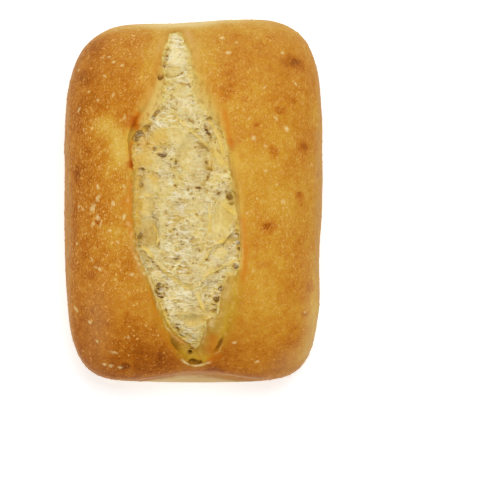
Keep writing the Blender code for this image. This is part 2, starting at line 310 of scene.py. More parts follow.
def wander(places, steps, seed):
    """The places, shifted by smooth noise of each (reach, size) in the list."""
    shifted = places.copy()
    for turn, (reach, size) in enumerate(steps):
        for axis in range(3):
            shifted[:, axis] += reach * smooth_noise(places, size, seed + STEP_SEEDS * turn + axis)
    return shifted


def uneven(places, mean, swing, size, seed):
    """Smooth noise about a mean, which makes a mark stronger here and weaker there."""
    return mean + swing * smooth_noise(places, size, seed)


test_noise = smooth_noise(points_of(dough)[::TEST_EVERY], TEST_SIZE, seed=1)
print(f"Smooth noise runs from {test_noise.min():.2f} to {test_noise.max():.2f}")

# %% [markdown]
# ## Finding a mark of the photograph on the loaf
#
# Brown spots, blisters and pores are named below by the pixel of the photograph where they lie. A ray from
# the camera through that pixel meets the solid at the mark's true place, whatever the camera's tilt.
# Distances from a mark are then taken in plan, from straight above, along a direction of its own where the
# mark is long.

# %% Rays from the camera, and distances in plan
PIXEL_ANGLE = SENSOR / camera.data.lens / PICTURE_SIDE


def seen_at(pixel):
    """The place on the solid that the camera sees at this pixel of the photograph."""
    turn = camera.rotation_euler.to_matrix()
    across = (pixel[0] - PICTURE_SIDE / 2) * PIXEL_ANGLE
    upwards = (PICTURE_SIDE / 2 - pixel[1]) * PIXEL_ANGLE
    towards = turn @ Vector((across, upwards, -1))
    met, place, _, _ = frame["nodes"]["loaf"].ray_cast(camera.location, towards)
    return np.array(place) if met else np.full(3, np.inf)


def mark_reach(places, mark):
    """How far out places lie in plan from the middle of a mark, 1 on its edge.

    The mark is (x, y, half-length, half-width, turn): pixels of the photograph, and degrees from +X.
    """
    x, y, half_length, half_width, turn = mark
    along = np.array((math.cos(math.radians(turn)), math.sin(math.radians(turn))))
    offset = places[:, :2] - seen_at((x, y))[:2]
    lengthwise = offset @ along / (half_length * PIXEL)
    crosswise = (offset[:, 1] * along[0] - offset[:, 0] * along[1]) / (half_width * PIXEL)
    return np.hypot(lengthwise, crosswise)


def line_distance(places, line):
    """In plan, how far places lie from a line, how far along it from 0 to 1, and on which side: left is 1."""
    line = np.asarray(line, float)
    steps = np.diff(line, axis=0)
    lengths = np.linalg.norm(steps, axis=1)
    starts = np.concatenate(([0.0], np.cumsum(lengths)))
    nearest = np.full(len(places), np.inf)
    along = np.zeros(len(places))
    side = np.ones(len(places))
    for corner, step, length, start in zip(line, steps, lengths, starts):
        offset = places[:, :2] - corner
        t = np.clip(offset @ step / length ** 2, 0, 1)
        distance = np.linalg.norm(offset - t[:, None] * step, axis=1)
        closer = distance < nearest
        along = np.where(closer, start + t * length, along)
        side = np.where(closer, np.sign(step[0] * offset[:, 1] - step[1] * offset[:, 0]), side)
        nearest = np.minimum(nearest, distance)
    return nearest, along / lengths.sum(), side


def line_reach(places, pixels, fade):
    """How far places lie from a line of pixels, a share that fades at its two ends, and on which side."""
    distance, along, side = line_distance(places, [seen_at(pixel)[:2] for pixel in pixels])
    return distance, ramp(0.0, fade, along) * ramp(1.0, 1 - fade, along), side


print("The picture's loaf middle is at", (seen_at(LOAF_MIDDLE_PX) / MM).round(1), "mm")

# %% [markdown]
# ## Which skin is crust and which is crumb
#
# Every point of the dough gets two measures that the later steps read: how far it lies inside the lips, and
# how far inside the torn crumb, whose outline is traced from the photograph. A torn edge is never a clean
# curve, so the point is first moved a little by noise, and the edges then come out ragged.

# %% Measures of the dough's points
RAGGED = ((0.35 * MM, 3 * MM), (0.30 * MM, 1.3 * MM))
TOP_ONLY = 30 * MM  # nothing below this height belongs to the burst
BURST_REACH = 6 * MM  # how far outside the lips the burst's marks can lie
NO_HEIGHT = 1e-12  # keeps a level side of an outline from dividing by 0
CRUMB_OUTLINE = (  # pixels of the photograph, from the far tip down the right side and back up the left side
    (169.5, 33.5), (175, 31.5), (181.5, 33), (184.5, 42), (189.5, 49), (191.5, 56), (190.5, 63), (192, 70),
    (193.5, 80), (194.5, 89), (197, 98), (204, 106), (210, 114), (215.5, 123), (222, 131), (226, 139),
    (228, 148), (229.5, 160), (230, 170), (232, 181), (234, 192), (235.5, 202), (237, 217), (239.5, 228),
    (240, 243), (240.7, 259), (240, 269), (236, 275), (229, 275), (223.5, 285), (221.5, 292), (220, 301),
    (218, 312), (213.3, 316.5), (207.5, 318.5), (206, 327), (203.5, 331), (201.5, 339), (198.7, 347),
    (194.4, 349), (190, 344), (181.6, 339), (175.5, 333), (169.3, 325.5), (164.4, 315.7), (160.8, 306),
    (157, 297.5), (154.5, 288), (150, 278), (144.7, 271), (142, 264), (138, 251), (136.5, 243),
    (134.5, 234), (133.3, 217), (132.5, 198), (132, 184), (133.3, 170), (133.3, 159), (132, 150),
    (134.7, 136.7), (140.7, 130), (147.3, 122), (154, 114), (158.7, 108.7), (161.5, 101), (161.7, 95.5),
    (164, 87), (165, 80), (162.8, 71), (161.7, 62.5), (162.2, 56), (165, 47), (168.3, 39),
)


def inside_lips(places):
    """How far places lie inside the lips of the crust, below 0 outside them or past the burst's ends."""
    x, y = places[:, 0], places[:, 1]
    left_lip, right_lip = lips_at(y)
    across = np.minimum(x - left_lip, right_lip - x)
    along = np.minimum(LIPS[0, 0] - y, y - LIPS[-1, 0])
    return np.where(places[:, 2] > TOP_ONLY, np.minimum(across, along), -TOP_ONLY)


def inside_outline(places, pixels):
    """How far places lie inside a closed outline traced on the photograph, below 0 outside it."""
    corners = np.array([seen_at(pixel)[:2] for pixel in (*pixels, pixels[0])])
    distance, _, _ = line_distance(places, corners)
    x, y = places[:, 0], places[:, 1]
    inside = np.zeros(len(places), bool)
    for (x0, y0), (x1, y1) in zip(corners, corners[1:]):
        crossed = (y0 > y) != (y1 > y)
        inside ^= crossed & (x < x0 + (x1 - x0) * (y - y0) / (y1 - y0 + NO_HEIGHT))
    return np.where(inside, distance, -distance)


def only_in(area, measure, *settings):
    """A measure worked out at the dough's points in one area, and 0 elsewhere."""
    values = np.zeros(len(dough_places))
    values[area] = measure(dough_places[area], *settings)
    return values


dough_places = points_of(dough)
ragged = wander(dough_places, RAGGED, seed=11)
within_lips = inside_lips(ragged)
burst_area = within_lips > -BURST_REACH
within_crumb = np.full(len(dough_places), -TOP_ONLY)
within_crumb[burst_area] = inside_outline(ragged[burst_area], CRUMB_OUTLINE)
print(f"{(within_lips > 0).sum()} points are torn open, {(within_crumb > 0).sum()} of them crumb")

# %% [markdown]
# ## Gas cells and pores
#
# Torn dough shows its gas cells: a net of thin walls with hollows between them, and small round pores that
# go deeper. Both come from cell noise, at two sizes each, pulled long across the loaf because it opened
# sideways.

# %% Gas cells and pores
CELLS = (  # gas cells with walls between them: (size along, across and upwards in mm, depth in mm, wall)
    ((5.5, 3.6, 4.5), 0.60, 0.24),
    ((3.0, 2.0, 2.6), 0.45, 0.30),
)
CELL_WANDER = (0.35, 1.0)  # how far the walls wander, and the size of their swings, in lengths of a cell
WALL_TOP_HALF = 0.02  # half the flat top of a wall, in cells
SHALLOWEST_CELL = 0.15  # of the depth
PORES = (  # round pores: (size of the space that each has, depth in mm, share of spaces without one)
    ((3.4, 2.3, 2.8), 0.70, 0.50),
    ((1.9, 1.4, 1.7), 0.40, 0.30),
)
PORE_WANDER = (0.3, 0.8)
PORE_MIDDLE, PORE_EDGE, LARGER_EDGE = 0.1, 0.25, 0.3  # radii of a pore, in cells, and what the largest add
OPEN_SIZE, OPEN_RANGE = 6 * MM, (-0.40, 0.30)  # a skin covers the crumb where this noise is low
COVERED_PORE = 0.2  # what a skin leaves of the depth
LEVEL_SEEDS = 5  # seeds kept free for each size


def at_least(lowest, share):
    """A share from 0 to 1, raised so that it begins at the lowest."""
    return lowest + (1 - lowest) * share


def stretch(places, size, wandering, seed):
    """Places that wander by shares of a cell's length."""
    length = size[0] * MM
    return wander(places, ((wandering[0] * length, wandering[1] * length),), seed)


def cells_at(places):
    """How deep the open gas cells are, in mm."""
    depth = np.zeros(len(places))
    for level, (size, deepest, wall) in enumerate(CELLS):
        pulled = stretch(places, size, CELL_WANDER, 90 + LEVEL_SEEDS * level)
        nearest, second, own = cell_noise(pulled, np.array(size) * MM, 92 + LEVEL_SEEDS * level)
        depth += deepest * at_least(SHALLOWEST_CELL, own) * ramp(WALL_TOP_HALF, wall, second - nearest)
    return depth


def pores_at(places):
    """How deep the scattered pores are, in mm, with fewer where a skin covers the crumb."""
    openness = ramp(*OPEN_RANGE, smooth_noise(places, OPEN_SIZE, seed=108))
    depth = np.zeros(len(places))
    for level, (size, deepest, without) in enumerate(PORES):
        pulled = stretch(places, size, PORE_WANDER, 100 + LEVEL_SEEDS * level)
        nearest, _, own = cell_noise(pulled, np.array(size) * MM, 102 + LEVEL_SEEDS * level)
        kept = ramp(without, 1.0, own)
        depth = np.maximum(depth, deepest * kept * ramp(PORE_EDGE + LARGER_EDGE * kept, PORE_MIDDLE, nearest))
    return depth * at_least(COVERED_PORE, openness)


cells_in_dough = only_in(burst_area, cells_at)
pores_in_dough = only_in(burst_area, pores_at)
print(f"Cells reach {cells_in_dough.max():.1f} mm down and pores {pores_in_dough.max():.1f} mm")

# %% [markdown]
# ## Holes and gaps
#
# About a hundred holes, slits and gaps are large enough for the eye to pick out. They are named one by one,
# each a soft-edged ellipse or a line, and pressed into the skin and the crumb alike.

# %% Holes, slits and gaps
HOLES = (  # (x, y of the photograph, half-length, half-width in pixels, turn, depth in mm)
    # the far tip and the lens-shaped hollow below it
    (160.6, 76.9, 2.4, 2.4, 0, 2.4), (171, 42, 1.0, 2.4, -40, 1.0), (168.3, 47, 1.2, 1.8, 0, 1.0),
    (167.2, 54.7, 1.4, 2.0, 0, 1.4), (166.4, 58.8, 1.4, 1.5, 0, 1.3), (164.8, 65.2, 2.0, 2.4, 0, 1.5),
    (178, 46.6, 4.5, 0.9, -8, 1.1), (175.6, 75, 3.6, 1.4, 15, 2.2), (180.9, 72.4, 1.9, 1.3, 30, 2.0),
    (166.7, 74.7, 2.4, 2.2, 0, 1.4), (170, 67.2, 2.0, 0.8, 10, 0.9), (184.4, 83.8, 5.0, 1.0, -6, 1.3),
    (190, 86.2, 2.0, 1.2, -50, 1.3), (173.3, 88.6, 1.2, 1.2, 0, 1.0), (165.6, 83.6, 1.3, 1.6, 0, 1.0),
    (188.9, 102.4, 1.8, 1.2, 30, 1.1), (191.7, 94.7, 2.6, 1.0, 20, 1.1), (173.8, 107.6, 3.4, 1.4, -20, 1.7),
    # round the big hollow
    (209.3, 119.4, 1.7, 2.0, 0, 2.4), (207.6, 131, 1.5, 5.4, 22, 1.8), (211, 138, 1.2, 2.6, 20, 1.2),
    (191.6, 120.4, 3.4, 1.5, -15, 1.9), (196.7, 129.3, 1.6, 1.3, 0, 1.2), (220.7, 132.7, 1.8, 2.2, 30, 1.3),
    (222, 137, 1.2, 1.8, 0, 1.0), (147.3, 144, 2.8, 1.1, -8, 1.6), (154.3, 148.7, 2.6, 1.7, 10, 2.0),
    (161.7, 154.3, 3.8, 2.2, -12, 2.8), (176.4, 162.4, 2.6, 1.8, 30, 1.9), (171.2, 159.2, 1.4, 1.2, 0, 1.3),
    (170, 166.7, 1.5, 1.4, 0, 1.3), (173.8, 168, 1.2, 1.0, 0, 1.0), (195.3, 147.3, 1.4, 1.2, 0, 1.0),
    (141.3, 169.2, 2.6, 1.8, 15, 2.1), (140.6, 185.3, 1.9, 3.2, 0, 2.2), (174.7, 185.3, 1.6, 1.2, 0, 1.2),
    (188, 189.5, 1.2, 2.4, 0, 1.2), (198.7, 188, 3.4, 1.1, -12, 1.7), (209.6, 168.6, 3.2, 1.4, -25, 2.2),
    (138.4, 143.6, 1.6, 1.2, 0, 1.2), (206, 161.6, 1.2, 2.0, 20, 1.0), (228, 178.7, 2.2, 0.9, -5, 1.1),
    (223.3, 183.3, 1.8, 1.6, 0, 1.3), (218.4, 151.4, 0.8, 4.4, 38, 1.1), (224, 160, 1.0, 3.4, -30, 1.0),
    # the middle
    (229.6, 197, 3.2, 3.0, 0, 1.7), (231, 203.2, 2.6, 2.2, 0, 1.5), (219.2, 194, 1.8, 1.8, 0, 1.3),
    (196.7, 214.7, 1.3, 1.5, 0, 1.5), (165.3, 212, 1.6, 2.0, 0, 1.4), (154, 210.7, 1.2, 1.0, 0, 1.0),
    (158.2, 244, 1.1, 2.8, -10, 1.7), (141, 235, 1.3, 3.0, 0, 0.9), (173.3, 229.6, 2.0, 1.0, 0, 1.5),
    (177.3, 235.3, 1.2, 1.9, 20, 1.5), (182, 244.7, 2.0, 0.9, 0, 1.3), (175.3, 247.3, 1.4, 1.0, 0, 1.1),
    (191.2, 239.6, 0.9, 0.9, 0, 1.1), (176.5, 258.6, 3.6, 1.4, 0, 1.4), (183.3, 262, 2.4, 0.9, 20, 1.3),
    (180.7, 266.7, 2.6, 0.9, -8, 1.3), (188.5, 273.2, 3.4, 1.2, -8, 1.5), (206.7, 260, 2.0, 1.1, -8, 1.6),
    (210.7, 248.3, 1.2, 1.1, 0, 1.7), (219.3, 266.7, 3.6, 1.6, 8, 1.5), (216.7, 272.7, 2.4, 1.1, 0, 1.2),
    (236.6, 235.3, 1.6, 2.6, 0, 1.7), (237.3, 242.6, 1.6, 2.4, 0, 1.9), (238, 249.2, 1.5, 2.4, 0, 1.9),
    (235.2, 266.5, 2.4, 2.4, 0, 2.0), (237.6, 257, 1.3, 2.0, 0, 1.3), (140, 245.3, 1.0, 2.2, 20, 1.6),
    (144.7, 252, 1.8, 1.0, -40, 1.6), (150.6, 258.8, 2.2, 1.1, -35, 1.6), (224, 277.3, 2.0, 1.2, 0, 1.8),
    # the near end
    (220.5, 288.7, 2.0, 2.4, 0, 2.2), (158.5, 285, 2.4, 1.0, 30, 1.6), (158.4, 293, 3.0, 1.0, -35, 2.0),
    (160.6, 296.4, 2.6, 0.9, -30, 1.9), (159.6, 289.4, 2.4, 0.8, -20, 1.6),
    (175.5, 303.4, 1.0, 1.0, 0, 1.2), (166.3, 309.6, 1.1, 2.4, 20, 1.8), (168.7, 316, 1.3, 1.0, 0, 1.4),
    (175.5, 315.9, 1.2, 1.2, 0, 1.4), (176.7, 307.7, 2.2, 1.2, 0, 1.0), (187, 298.6, 1.4, 1.8, 0, 1.0),
    (178, 325, 2.6, 0.8, -10, 1.5), (177.5, 328.4, 2.2, 1.2, -40, 1.6), (181.6, 335.8, 2.8, 0.9, -25, 1.7),
    (217, 299.2, 2.4, 3.6, -20, 2.2), (213.6, 304.7, 3.0, 0.9, -5, 1.9), (213.3, 310.4, 3.4, 1.3, 20, 1.6),
    (212.1, 318.1, 1.0, 0.9, 0, 1.4), (190.1, 352.7, 1.6, 1.5, 0, 3.4), (192, 349.3, 1.7, 0.9, 0, 1.6),
    (193.6, 361.0, 3.4, 1.4, -14, 2.2), (177.0, 345.0, 3.0, 8.0, 38, 1.9), (218.4, 346, 1.5, 8.4, -30, 2.0),
)
UNDERCUTS = (  # dark gaps under the skin's edge: (pixels of the photograph, half-width in mm, depth in mm)
    (((158.8, 109.4), (154.6, 115), (151.4, 119.6)), 0.85, 2.0),
    (((151.6, 122.4), (148, 126.4), (143.4, 130)), 0.8, 2.4),
    (((144, 130.4), (139, 134.4), (136, 137.6), (134.6, 142)), 1.2, 3.0),
    (((134, 143), (133, 152), (134, 162)), 0.6, 1.4),
    (((170, 43), (166.5, 50), (164.6, 60), (164, 70)), 0.4, 0.9),
    (((195.3, 140.3), (201, 144.6), (206, 149.4), (209.6, 154)), 0.45, 0.9),
    (((210.4, 156), (211, 164), (210, 172), (207, 179), (202, 185)), 0.55, 1.6),
    (((223.1, 337.7), (218.2, 347.5), (213.3, 353.6)), 0.5, 1.6),
    (((138.4, 246), (148, 257), (158, 267.6), (166, 277)), 0.4, 0.5),
    (((236, 219), (238, 232), (238.4, 248), (238, 262)), 0.4, 0.7),
    (((187.6, 360.6), (193, 363.4), (199, 363.4), (203, 361.6)), 0.9, 2.8),
)
HOLE_WANDER = ((0.30 * MM, 1.7 * MM), (0.22 * MM, 0.8 * MM))
HOLE_EDGE, GAP_EDGE = (1.6, 0.2), (1.8, 0.2)  # a hole begins and is full at these shares of its half-width
BROKEN = (0.65, 0.5, 2 * MM)  # how the gaps' depth varies: mean, swing and size
LINE_FADE = 0.2  # the share of a line over which it fades at either end


def holes_at(places):
    """How deep the named holes and gaps are, in mm."""
    pulled = wander(places, HOLE_WANDER, seed=111)
    broken = uneven(places, *BROKEN, seed=113)
    depth = np.zeros(len(places))
    for *mark, deepest in HOLES:
        depth = np.maximum(depth, deepest * ramp(*HOLE_EDGE, mark_reach(pulled, mark)))
    for line, half_width, deepest in UNDERCUTS:
        distance, ends, _ = line_reach(pulled, line, LINE_FADE)
        depth = np.maximum(depth, deepest * broken * ends * ramp(*GAP_EDGE, distance / (half_width * MM)))
    return depth


holes_in_dough = only_in(burst_area, holes_at)
print(f"{len(HOLES)} holes and {len(UNDERCUTS)} gaps, up to {holes_in_dough.max():.1f} mm deep")

# %% [markdown]
# ## Blisters and flakes
#
# Seen close, a baked crust carries hundreds of tiny blisters where gas stayed under the skin. Sculpting each
# by hand would take days, so cell noise places them. The flakes and the thin pale edges that stand out in the
# photograph are named. Each point only gets a share of a blister or a flake here. The crust's material needs
# these shares too.

# %% Blisters and flakes
BLISTER_SPACING = 3.4 * MM
BLISTER_WANDER = ((0.5 * MM, 2.2 * MM),)
SMALLEST_BLISTER, LARGER_BLISTER = 0.08, 0.14  # in spacings, and what the largest add
NO_BLISTER = 0.25  # the share of spaces without one
FLAKES = (  # (x, y of the photograph, half-length, half-width in pixels, turn)
    (131.4, 188, 2.0, 1.0, 100), (128.2, 200, 2.4, 1.1, 80), (131.4, 205, 2.2, 0.9, 95),
    (132.2, 212, 1.8, 0.8, 90), (130.4, 225, 2.6, 1.5, 125), (131.6, 234, 2.8, 0.9, 95),
    (134.6, 241, 2.0, 0.8, 120), (137.6, 249, 2.4, 1.4, 110), (136.6, 257.6, 2.2, 1.2, 130),
    (139.6, 264, 2.4, 0.8, 125), (144.4, 273, 2.6, 1.0, 130), (98, 186, 2.4, 1.6, 100),
    (98, 198.5, 3.4, 1.9, 85), (93, 207.5, 4.0, 2.1, 75), (98, 218, 3.0, 2.0, 110),
    (113, 203.5, 2.4, 1.3, 120), (124, 217, 2.6, 1.8, 90), (129.5, 224, 2.8, 1.7, 130),
    (124, 186, 1.8, 1.2, 90), (99.5, 269.5, 2.4, 1.3, 130), (131.5, 274.5, 2.2, 1.4, 0),
    (77, 244, 1.6, 1.0, 110), (86, 233.5, 1.4, 0.9, 0), (118, 242, 2.2, 1.4, 110),
    (109.6, 231, 1.8, 1.2, 0), (101, 224.5, 2.6, 0.8, 60), (93.5, 224, 1.8, 1.4, 40),
    (79, 206.5, 1.6, 0.9, 60), (83.5, 209.6, 1.3, 0.9, 120), (92, 259, 2.8, 0.7, 105),
    (96, 267, 2.2, 0.7, 140), (79, 70, 1.6, 1.3, 0), (98, 100, 1.6, 1.2, 0), (113, 95, 2.2, 1.4, 60),
    (79, 110, 2.4, 0.9, 70), (103, 58, 1.8, 1.0, 50), (109, 57, 2.0, 1.0, 150), (113, 62, 1.6, 1.0, 0),
    (124, 118, 1.8, 1.2, 40), (89, 92, 2.0, 0.8, 30), (105, 76, 1.8, 0.8, 140), (122, 66, 1.5, 1.0, 0),
    (84, 130, 1.6, 0.9, 80), (104, 364, 2.6, 0.9, 160), (111, 366, 2.4, 1.2, 10), (120, 367, 2.0, 1.0, 170),
    (114, 352.5, 3.6, 0.9, 165), (76, 309, 3.4, 0.9, 125), (90, 322, 2.0, 1.0, 140),
    (97, 341, 1.8, 1.0, 150), (128, 338, 1.6, 1.0, 0), (257, 362, 2.6, 0.9, 10), (234, 343, 2.0, 1.2, 0),
    (305, 312, 1.4, 1.2, 0), (228.6, 52.6, 2.6, 1.8, 0), (282, 53, 1.6, 1.4, 0), (283, 201, 2.4, 2.0, 0),
    (253.5, 138, 2.4, 2.0, 0), (286.6, 129, 2.0, 3.2, 10), (275.5, 118, 2.4, 1.0, 130),
    (266, 146, 1.8, 1.1, 140), (265.5, 171, 1.4, 1.2, 0), (277.5, 185, 1.8, 0.9, 30),
    (257, 198, 1.2, 0.9, 0), (247, 213, 1.8, 0.9, 40), (312, 165, 1.2, 1.2, 0), (222, 38, 2.2, 1.3, 0),
    (237, 42, 1.6, 1.1, 0), (264, 88, 1.6, 1.0, 60), (296, 84, 1.8, 0.9, 120), (249, 119, 1.6, 0.9, 60),
)
PALE_LINES = (  # thin pale torn edges: (pixels of the photograph, half-width in pixels, strength)
    (((179, 357), (186, 363.2), (196, 366), (205, 364.4), (214, 360)), 1.0, 1.0),
    (((135.5, 244), (141, 256), (145, 267), (150, 279), (154, 290), (158, 304), (163, 318)), 1.3, 0.85),
    (((162, 316), (167.5, 328), (174, 336.5), (181, 341.5), (189, 346.4)), 0.9, 0.60),
    (((238, 200), (240.4, 220), (242, 240), (242.2, 258), (240.6, 274)), 1.5, 0.75),
    (((207, 321), (206, 330), (203.6, 339), (201.4, 346)), 0.8, 0.45),
    (((222.6, 342), (219.4, 350), (214.6, 355.6)), 0.7, 0.45),
    (((162, 96), (158, 105), (151, 115), (144, 124), (137, 134)), 1.0, 0.45),
    (((214, 313), (212.4, 321), (211, 328)), 3.0, 0.55),
    (((228, 283), (226, 292), (224.6, 300)), 3.4, 0.35),
)
FLAKE_WANDER = ((0.45 * MM, 1.8 * MM), (0.30 * MM, 0.9 * MM))
FLAKE_SHARE, FLAKE_EDGE, PALE_EDGE = 0.8, (1.5, 0.4), (1.6, 0.3)
FLAKY = (0.75, 0.35, 1.6 * MM)  # mean, swing and size
SKIN_EDGE = 1.5 * MM  # the width over which the crust's relief dies away at the lips


def blister_relief(places):
    """How much of a blister stands at each place, from 0 to 1, with blisters of uneven size and length."""
    pulled = wander(places, BLISTER_WANDER, seed=41)
    nearest, _, own = cell_noise(pulled, BLISTER_SPACING, seed=45)
    return np.where(own > NO_BLISTER, bell(nearest, SMALLEST_BLISTER + LARGER_BLISTER * own), 0.0)


def flakes_at(places):
    """How much of a named flake lies at each place, from 0 to 1. The edges are uneven."""
    pulled = wander(places, FLAKE_WANDER, seed=47)
    share = np.zeros(len(places))
    for mark in FLAKES:
        share = np.maximum(share, FLAKE_SHARE * ramp(*FLAKE_EDGE, mark_reach(pulled, mark)))
    for line, half_width, strength in PALE_LINES:
        distance, ends, _ = line_reach(pulled, line, LINE_FADE)
        share = np.maximum(share, strength * ends * ramp(*PALE_EDGE, distance / (half_width * PIXEL)))
    return share * uneven(places, *FLAKY, seed=49)


upper = dough_places[:, 2] > TOP_ONLY
crust_share = 1 - ramp(-SKIN_EDGE, SKIN_EDGE / 2, within_lips)
blisters = blister_relief(dough_places) * crust_share
flakes = only_in(upper, flakes_at)
print(f"{len(FLAKES)} flakes and {len(PALE_LINES)} pale edges are named")

# %% [markdown]
# ## Torn rims
#
# Where the stretched skin tore off the crumb, small bits of it stand up along the lips. They are a low ridge
# along two lines, and noise breaks the ridge into bits.

# %% Torn rims
TORN_RIMS = (  # where torn bits stand up along the lips: (pixels of the photograph, height in mm)
    ((
        (133.4, 160), (132.6, 172), (132, 184), (132.6, 198), (133.2, 217), (134.6, 234), (138, 250),
        (149, 277),
    ), 0.8),
    ((
        (222, 132), (226, 139), (228, 148), (229.8, 160), (230.4, 170), (232, 181), (234, 192), (236.4, 212),
    ), 0.6),
)
RIM_WIDTH = 1.2 * MM
RIM_WANDER = ((0.5 * MM, 2.4 * MM),)
RIM_FADE = 0.12
TORN, TALLEST_BIT = (0.8, 0.9, 1.4 * MM), 1.4  # mean, swing and size of the bits' height, and its limit


def rims_at(places):
    """How high the torn bits along the lips stand, in mm."""
    pulled = wander(places, RIM_WANDER, seed=58)
    torn = np.clip(uneven(places, *TORN, seed=59), 0, TALLEST_BIT)
    height = np.zeros(len(places))
    for line, highest in TORN_RIMS:
        distance, ends, _ = line_reach(pulled, line, RIM_FADE)
        height = np.maximum(height, highest * ends * bell(distance, RIM_WIDTH) * torn)
    return height


rims = only_in(upper, rims_at)
print(f"The torn bits stand up to {rims.max():.1f} mm high")

# %% [markdown]
# ## The crust's relief
#
# The crust swells and sinks by a quarter of a millimetre and has a fine orange peel, which smooth noise gives
# it. With the blisters, flakes, rims and holes this makes one height for each point, and the points move by
# it along their normals. The stretched skin inside the lips is smooth, and takes on the crumb's cells and
# pores as it comes near the torn edge. The base stays flat.

# %% Lift the crust
SWELL_HEIGHT, SWELL_SIZE = 0.25 * MM, 14 * MM
PEEL_HEIGHT, PEEL_SIZE, PEEL_IN_BURST = 0.07 * MM, 1.7 * MM, 0.25
BLISTER_HEIGHT, FLAKE_HEIGHT = 0.30 * MM, 0.25 * MM
HOLE_FADE = 0.3 * MM
PORED_SKIN, PORED_CRUMB = 3.5 * MM, 0.8 * MM  # how far the skin is pored outside and inside the crumb's edge
CELLS_IN_SKIN, PORES_IN_SKIN = 0.5, 0.6  # how much of their depth shows there
STILL, MOVED = 0.5 * MM, 4 * MM  # heights: below the first nothing moves, and above the second all does

pored = ramp(-PORED_SKIN, 0.0, within_crumb) * ramp(PORED_CRUMB, 0.0, within_crumb)
lift = SWELL_HEIGHT * smooth_noise(dough_places, SWELL_SIZE, seed=51) * crust_share
lift += PEEL_HEIGHT * smooth_noise(dough_places, PEEL_SIZE, seed=52) * at_least(PEEL_IN_BURST, crust_share)
lift += BLISTER_HEIGHT * blisters + FLAKE_HEIGHT * flakes + rims * MM
lift -= holes_in_dough * MM * ramp(HOLE_FADE, -HOLE_FADE, within_crumb)
lift -= (CELLS_IN_SKIN * cells_in_dough + PORES_IN_SKIN * pores_in_dough) * MM * pored
lift *= ramp(STILL, MOVED, dough_places[:, 2])
move_points(dough, dough_places + normals_of(dough) * lift[:, None])
print(f"The relief runs from {lift.min() / MM:.2f} to {lift.max() / MM:.2f} mm")

# %% [markdown]
# ## How brown the crust is at each point
#
# The oven browned the loaf unevenly: the near end and the corners most, the left side more than the right,
# and a pale window stayed beside the burst. Each point gets a bake from 0, pale, to 1, dark brown, which
# the crust's material turns into a colour. Broad gradients come first, then the spots that the photograph
# shows.

# %% Bake of the crust
BROWN_SPOTS = (  # (x, y of the photograph, half-length, half-width in pixels, turn, strength)
    (291, 61.5, 12.5, 7.5, -18, 0.24), (294, 64, 6, 4, -30, 0.03), (280, 110, 7, 4, 20, 0.16),
    (275, 151, 5.4, 6.6, 20, 0.20), (304, 146, 5, 6.4, 0, 0.24), (268, 227, 8.4, 7.4, 0, 0.20),
    (267.5, 226, 4.4, 3.6, 0, 0.14), (300, 197, 4, 8, 0, 0.18), (231, 73, 6, 5, 0, 0.14),
    (264, 265, 6, 5, 0, 0.12), (312, 287, 5, 7, 0, 0.16), (305, 314, 4, 4, 0, 0.20),
    (92, 275, 6, 5, 0, 0.10), (126, 366, 4, 4, 0, 0.34), (77, 173, 3.5, 9, 0, 0.16),
    (87, 152, 7, 7, 0, 0.08), (76, 128, 5, 7, 0, 0.12), (84, 78, 8, 8, 0, 0.09), (96, 46, 12, 8, 35, 0.12),
    (136, 345, 14, 12, 0, 0.10), (214, 368, 12, 5, 0, 0.12), (250, 306, 12, 26, 0, 0.08),
    (132, 316, 8, 28, -8, 0.07), (150, 362, 26, 14, 0, 0.12), (258, 45, 7, 5, 0, 0.10),
    (255, 124, 5, 3, 0, 0.14), (318, 174, 2, 4, 0, 0.16), (73.5, 225, 3.5, 60, 0, 0.04),
    (150, 66, 4, 14, -15, 0.10), (105, 160, 6, 10, -30, 0.08), (238, 85, 14, 8, 0, 0.08),
    (243, 100, 5, 3, 0, 0.12), (294, 101, 3, 3, 0, 0.14), (298, 194, 4, 3, 20, 0.12),
    (228, 92, 5, 8, -30, 0.10), (98, 222, 2.4, 3, 0, 0.18), (215, 358, 6, 3, 20, 0.16),
)
PALE_SPOTS = (  # the same, where the crust stayed paler
    (106, 122, 8, 8, 0, 0.22), (117, 136, 9, 15, 25, 0.26), (127, 155, 8, 10, 0, 0.20),
    (124, 205, 10, 20, 0, 0.10), (288, 200, 22, 22, 0, 0.04), (250, 172, 20, 20, 0, 0.06),
    (165, 30, 20, 8, 0, 0.10), (215, 32, 18, 8, 0, 0.10), (255, 300, 14, 30, 0, 0.08),
    (262, 280, 20, 20, 0, 0.08), (240, 200, 5, 30, 0, 0.08), (112, 235, 12, 12, 0, 0.08),
    (130, 90, 10, 20, -20, 0.06), (110, 300, 14, 14, 0, 0.05), (245, 338, 10, 8, 0, 0.05),
    (152, 58, 9, 26, -14, 0.30), (203, 52, 11, 28, 12, 0.24), (99, 131, 8, 9, 0, 0.12),
    (112, 167, 9, 9, 0, 0.10), (246, 145, 7, 12, 0, 0.10), (316, 318, 7, 44, 0, 0.20),
    (303, 356, 12, 12, 0, 0.18), (80, 222, 10, 30, 0, 0.05), (121, 158, 9, 13, 10, 0.20),
    (94, 122, 7, 7, 0, 0.14), (117, 146, 9, 9, 0, 0.08), (106, 186, 12, 16, 0, 0.06),
)
FLOURY_SPOTS = (  # where the skin has stayed pale: along the torn edges, and low on the near corners
    (139.6, 260, 17, 3.4, -70, 0.74), (190.6, 48, 20, 4.6, -76, 0.72), (161, 47, 8, 3, 70, 0.70),
    (312, 335, 9, 52, 0, 0.32), (292, 360, 24, 12, 35, 0.22), (97, 322, 12, 38, 0, 0.16),
)
MOTTLING = ((0.06, 16 * MM), (0.06, 6 * MM), (0.06, 2.6 * MM))  # (how much, size)
SPOT_WANDER = ((1.0 * MM, 4 * MM), (0.5 * MM, 1.6 * MM))
CRISP_SPOTS = 1.7
MIDDLE_BAKE = 0.60
LEAN_BAKE, LEAN_WIDTH = 0.05, 30  # so much more on the left and less on the right, over this many mm
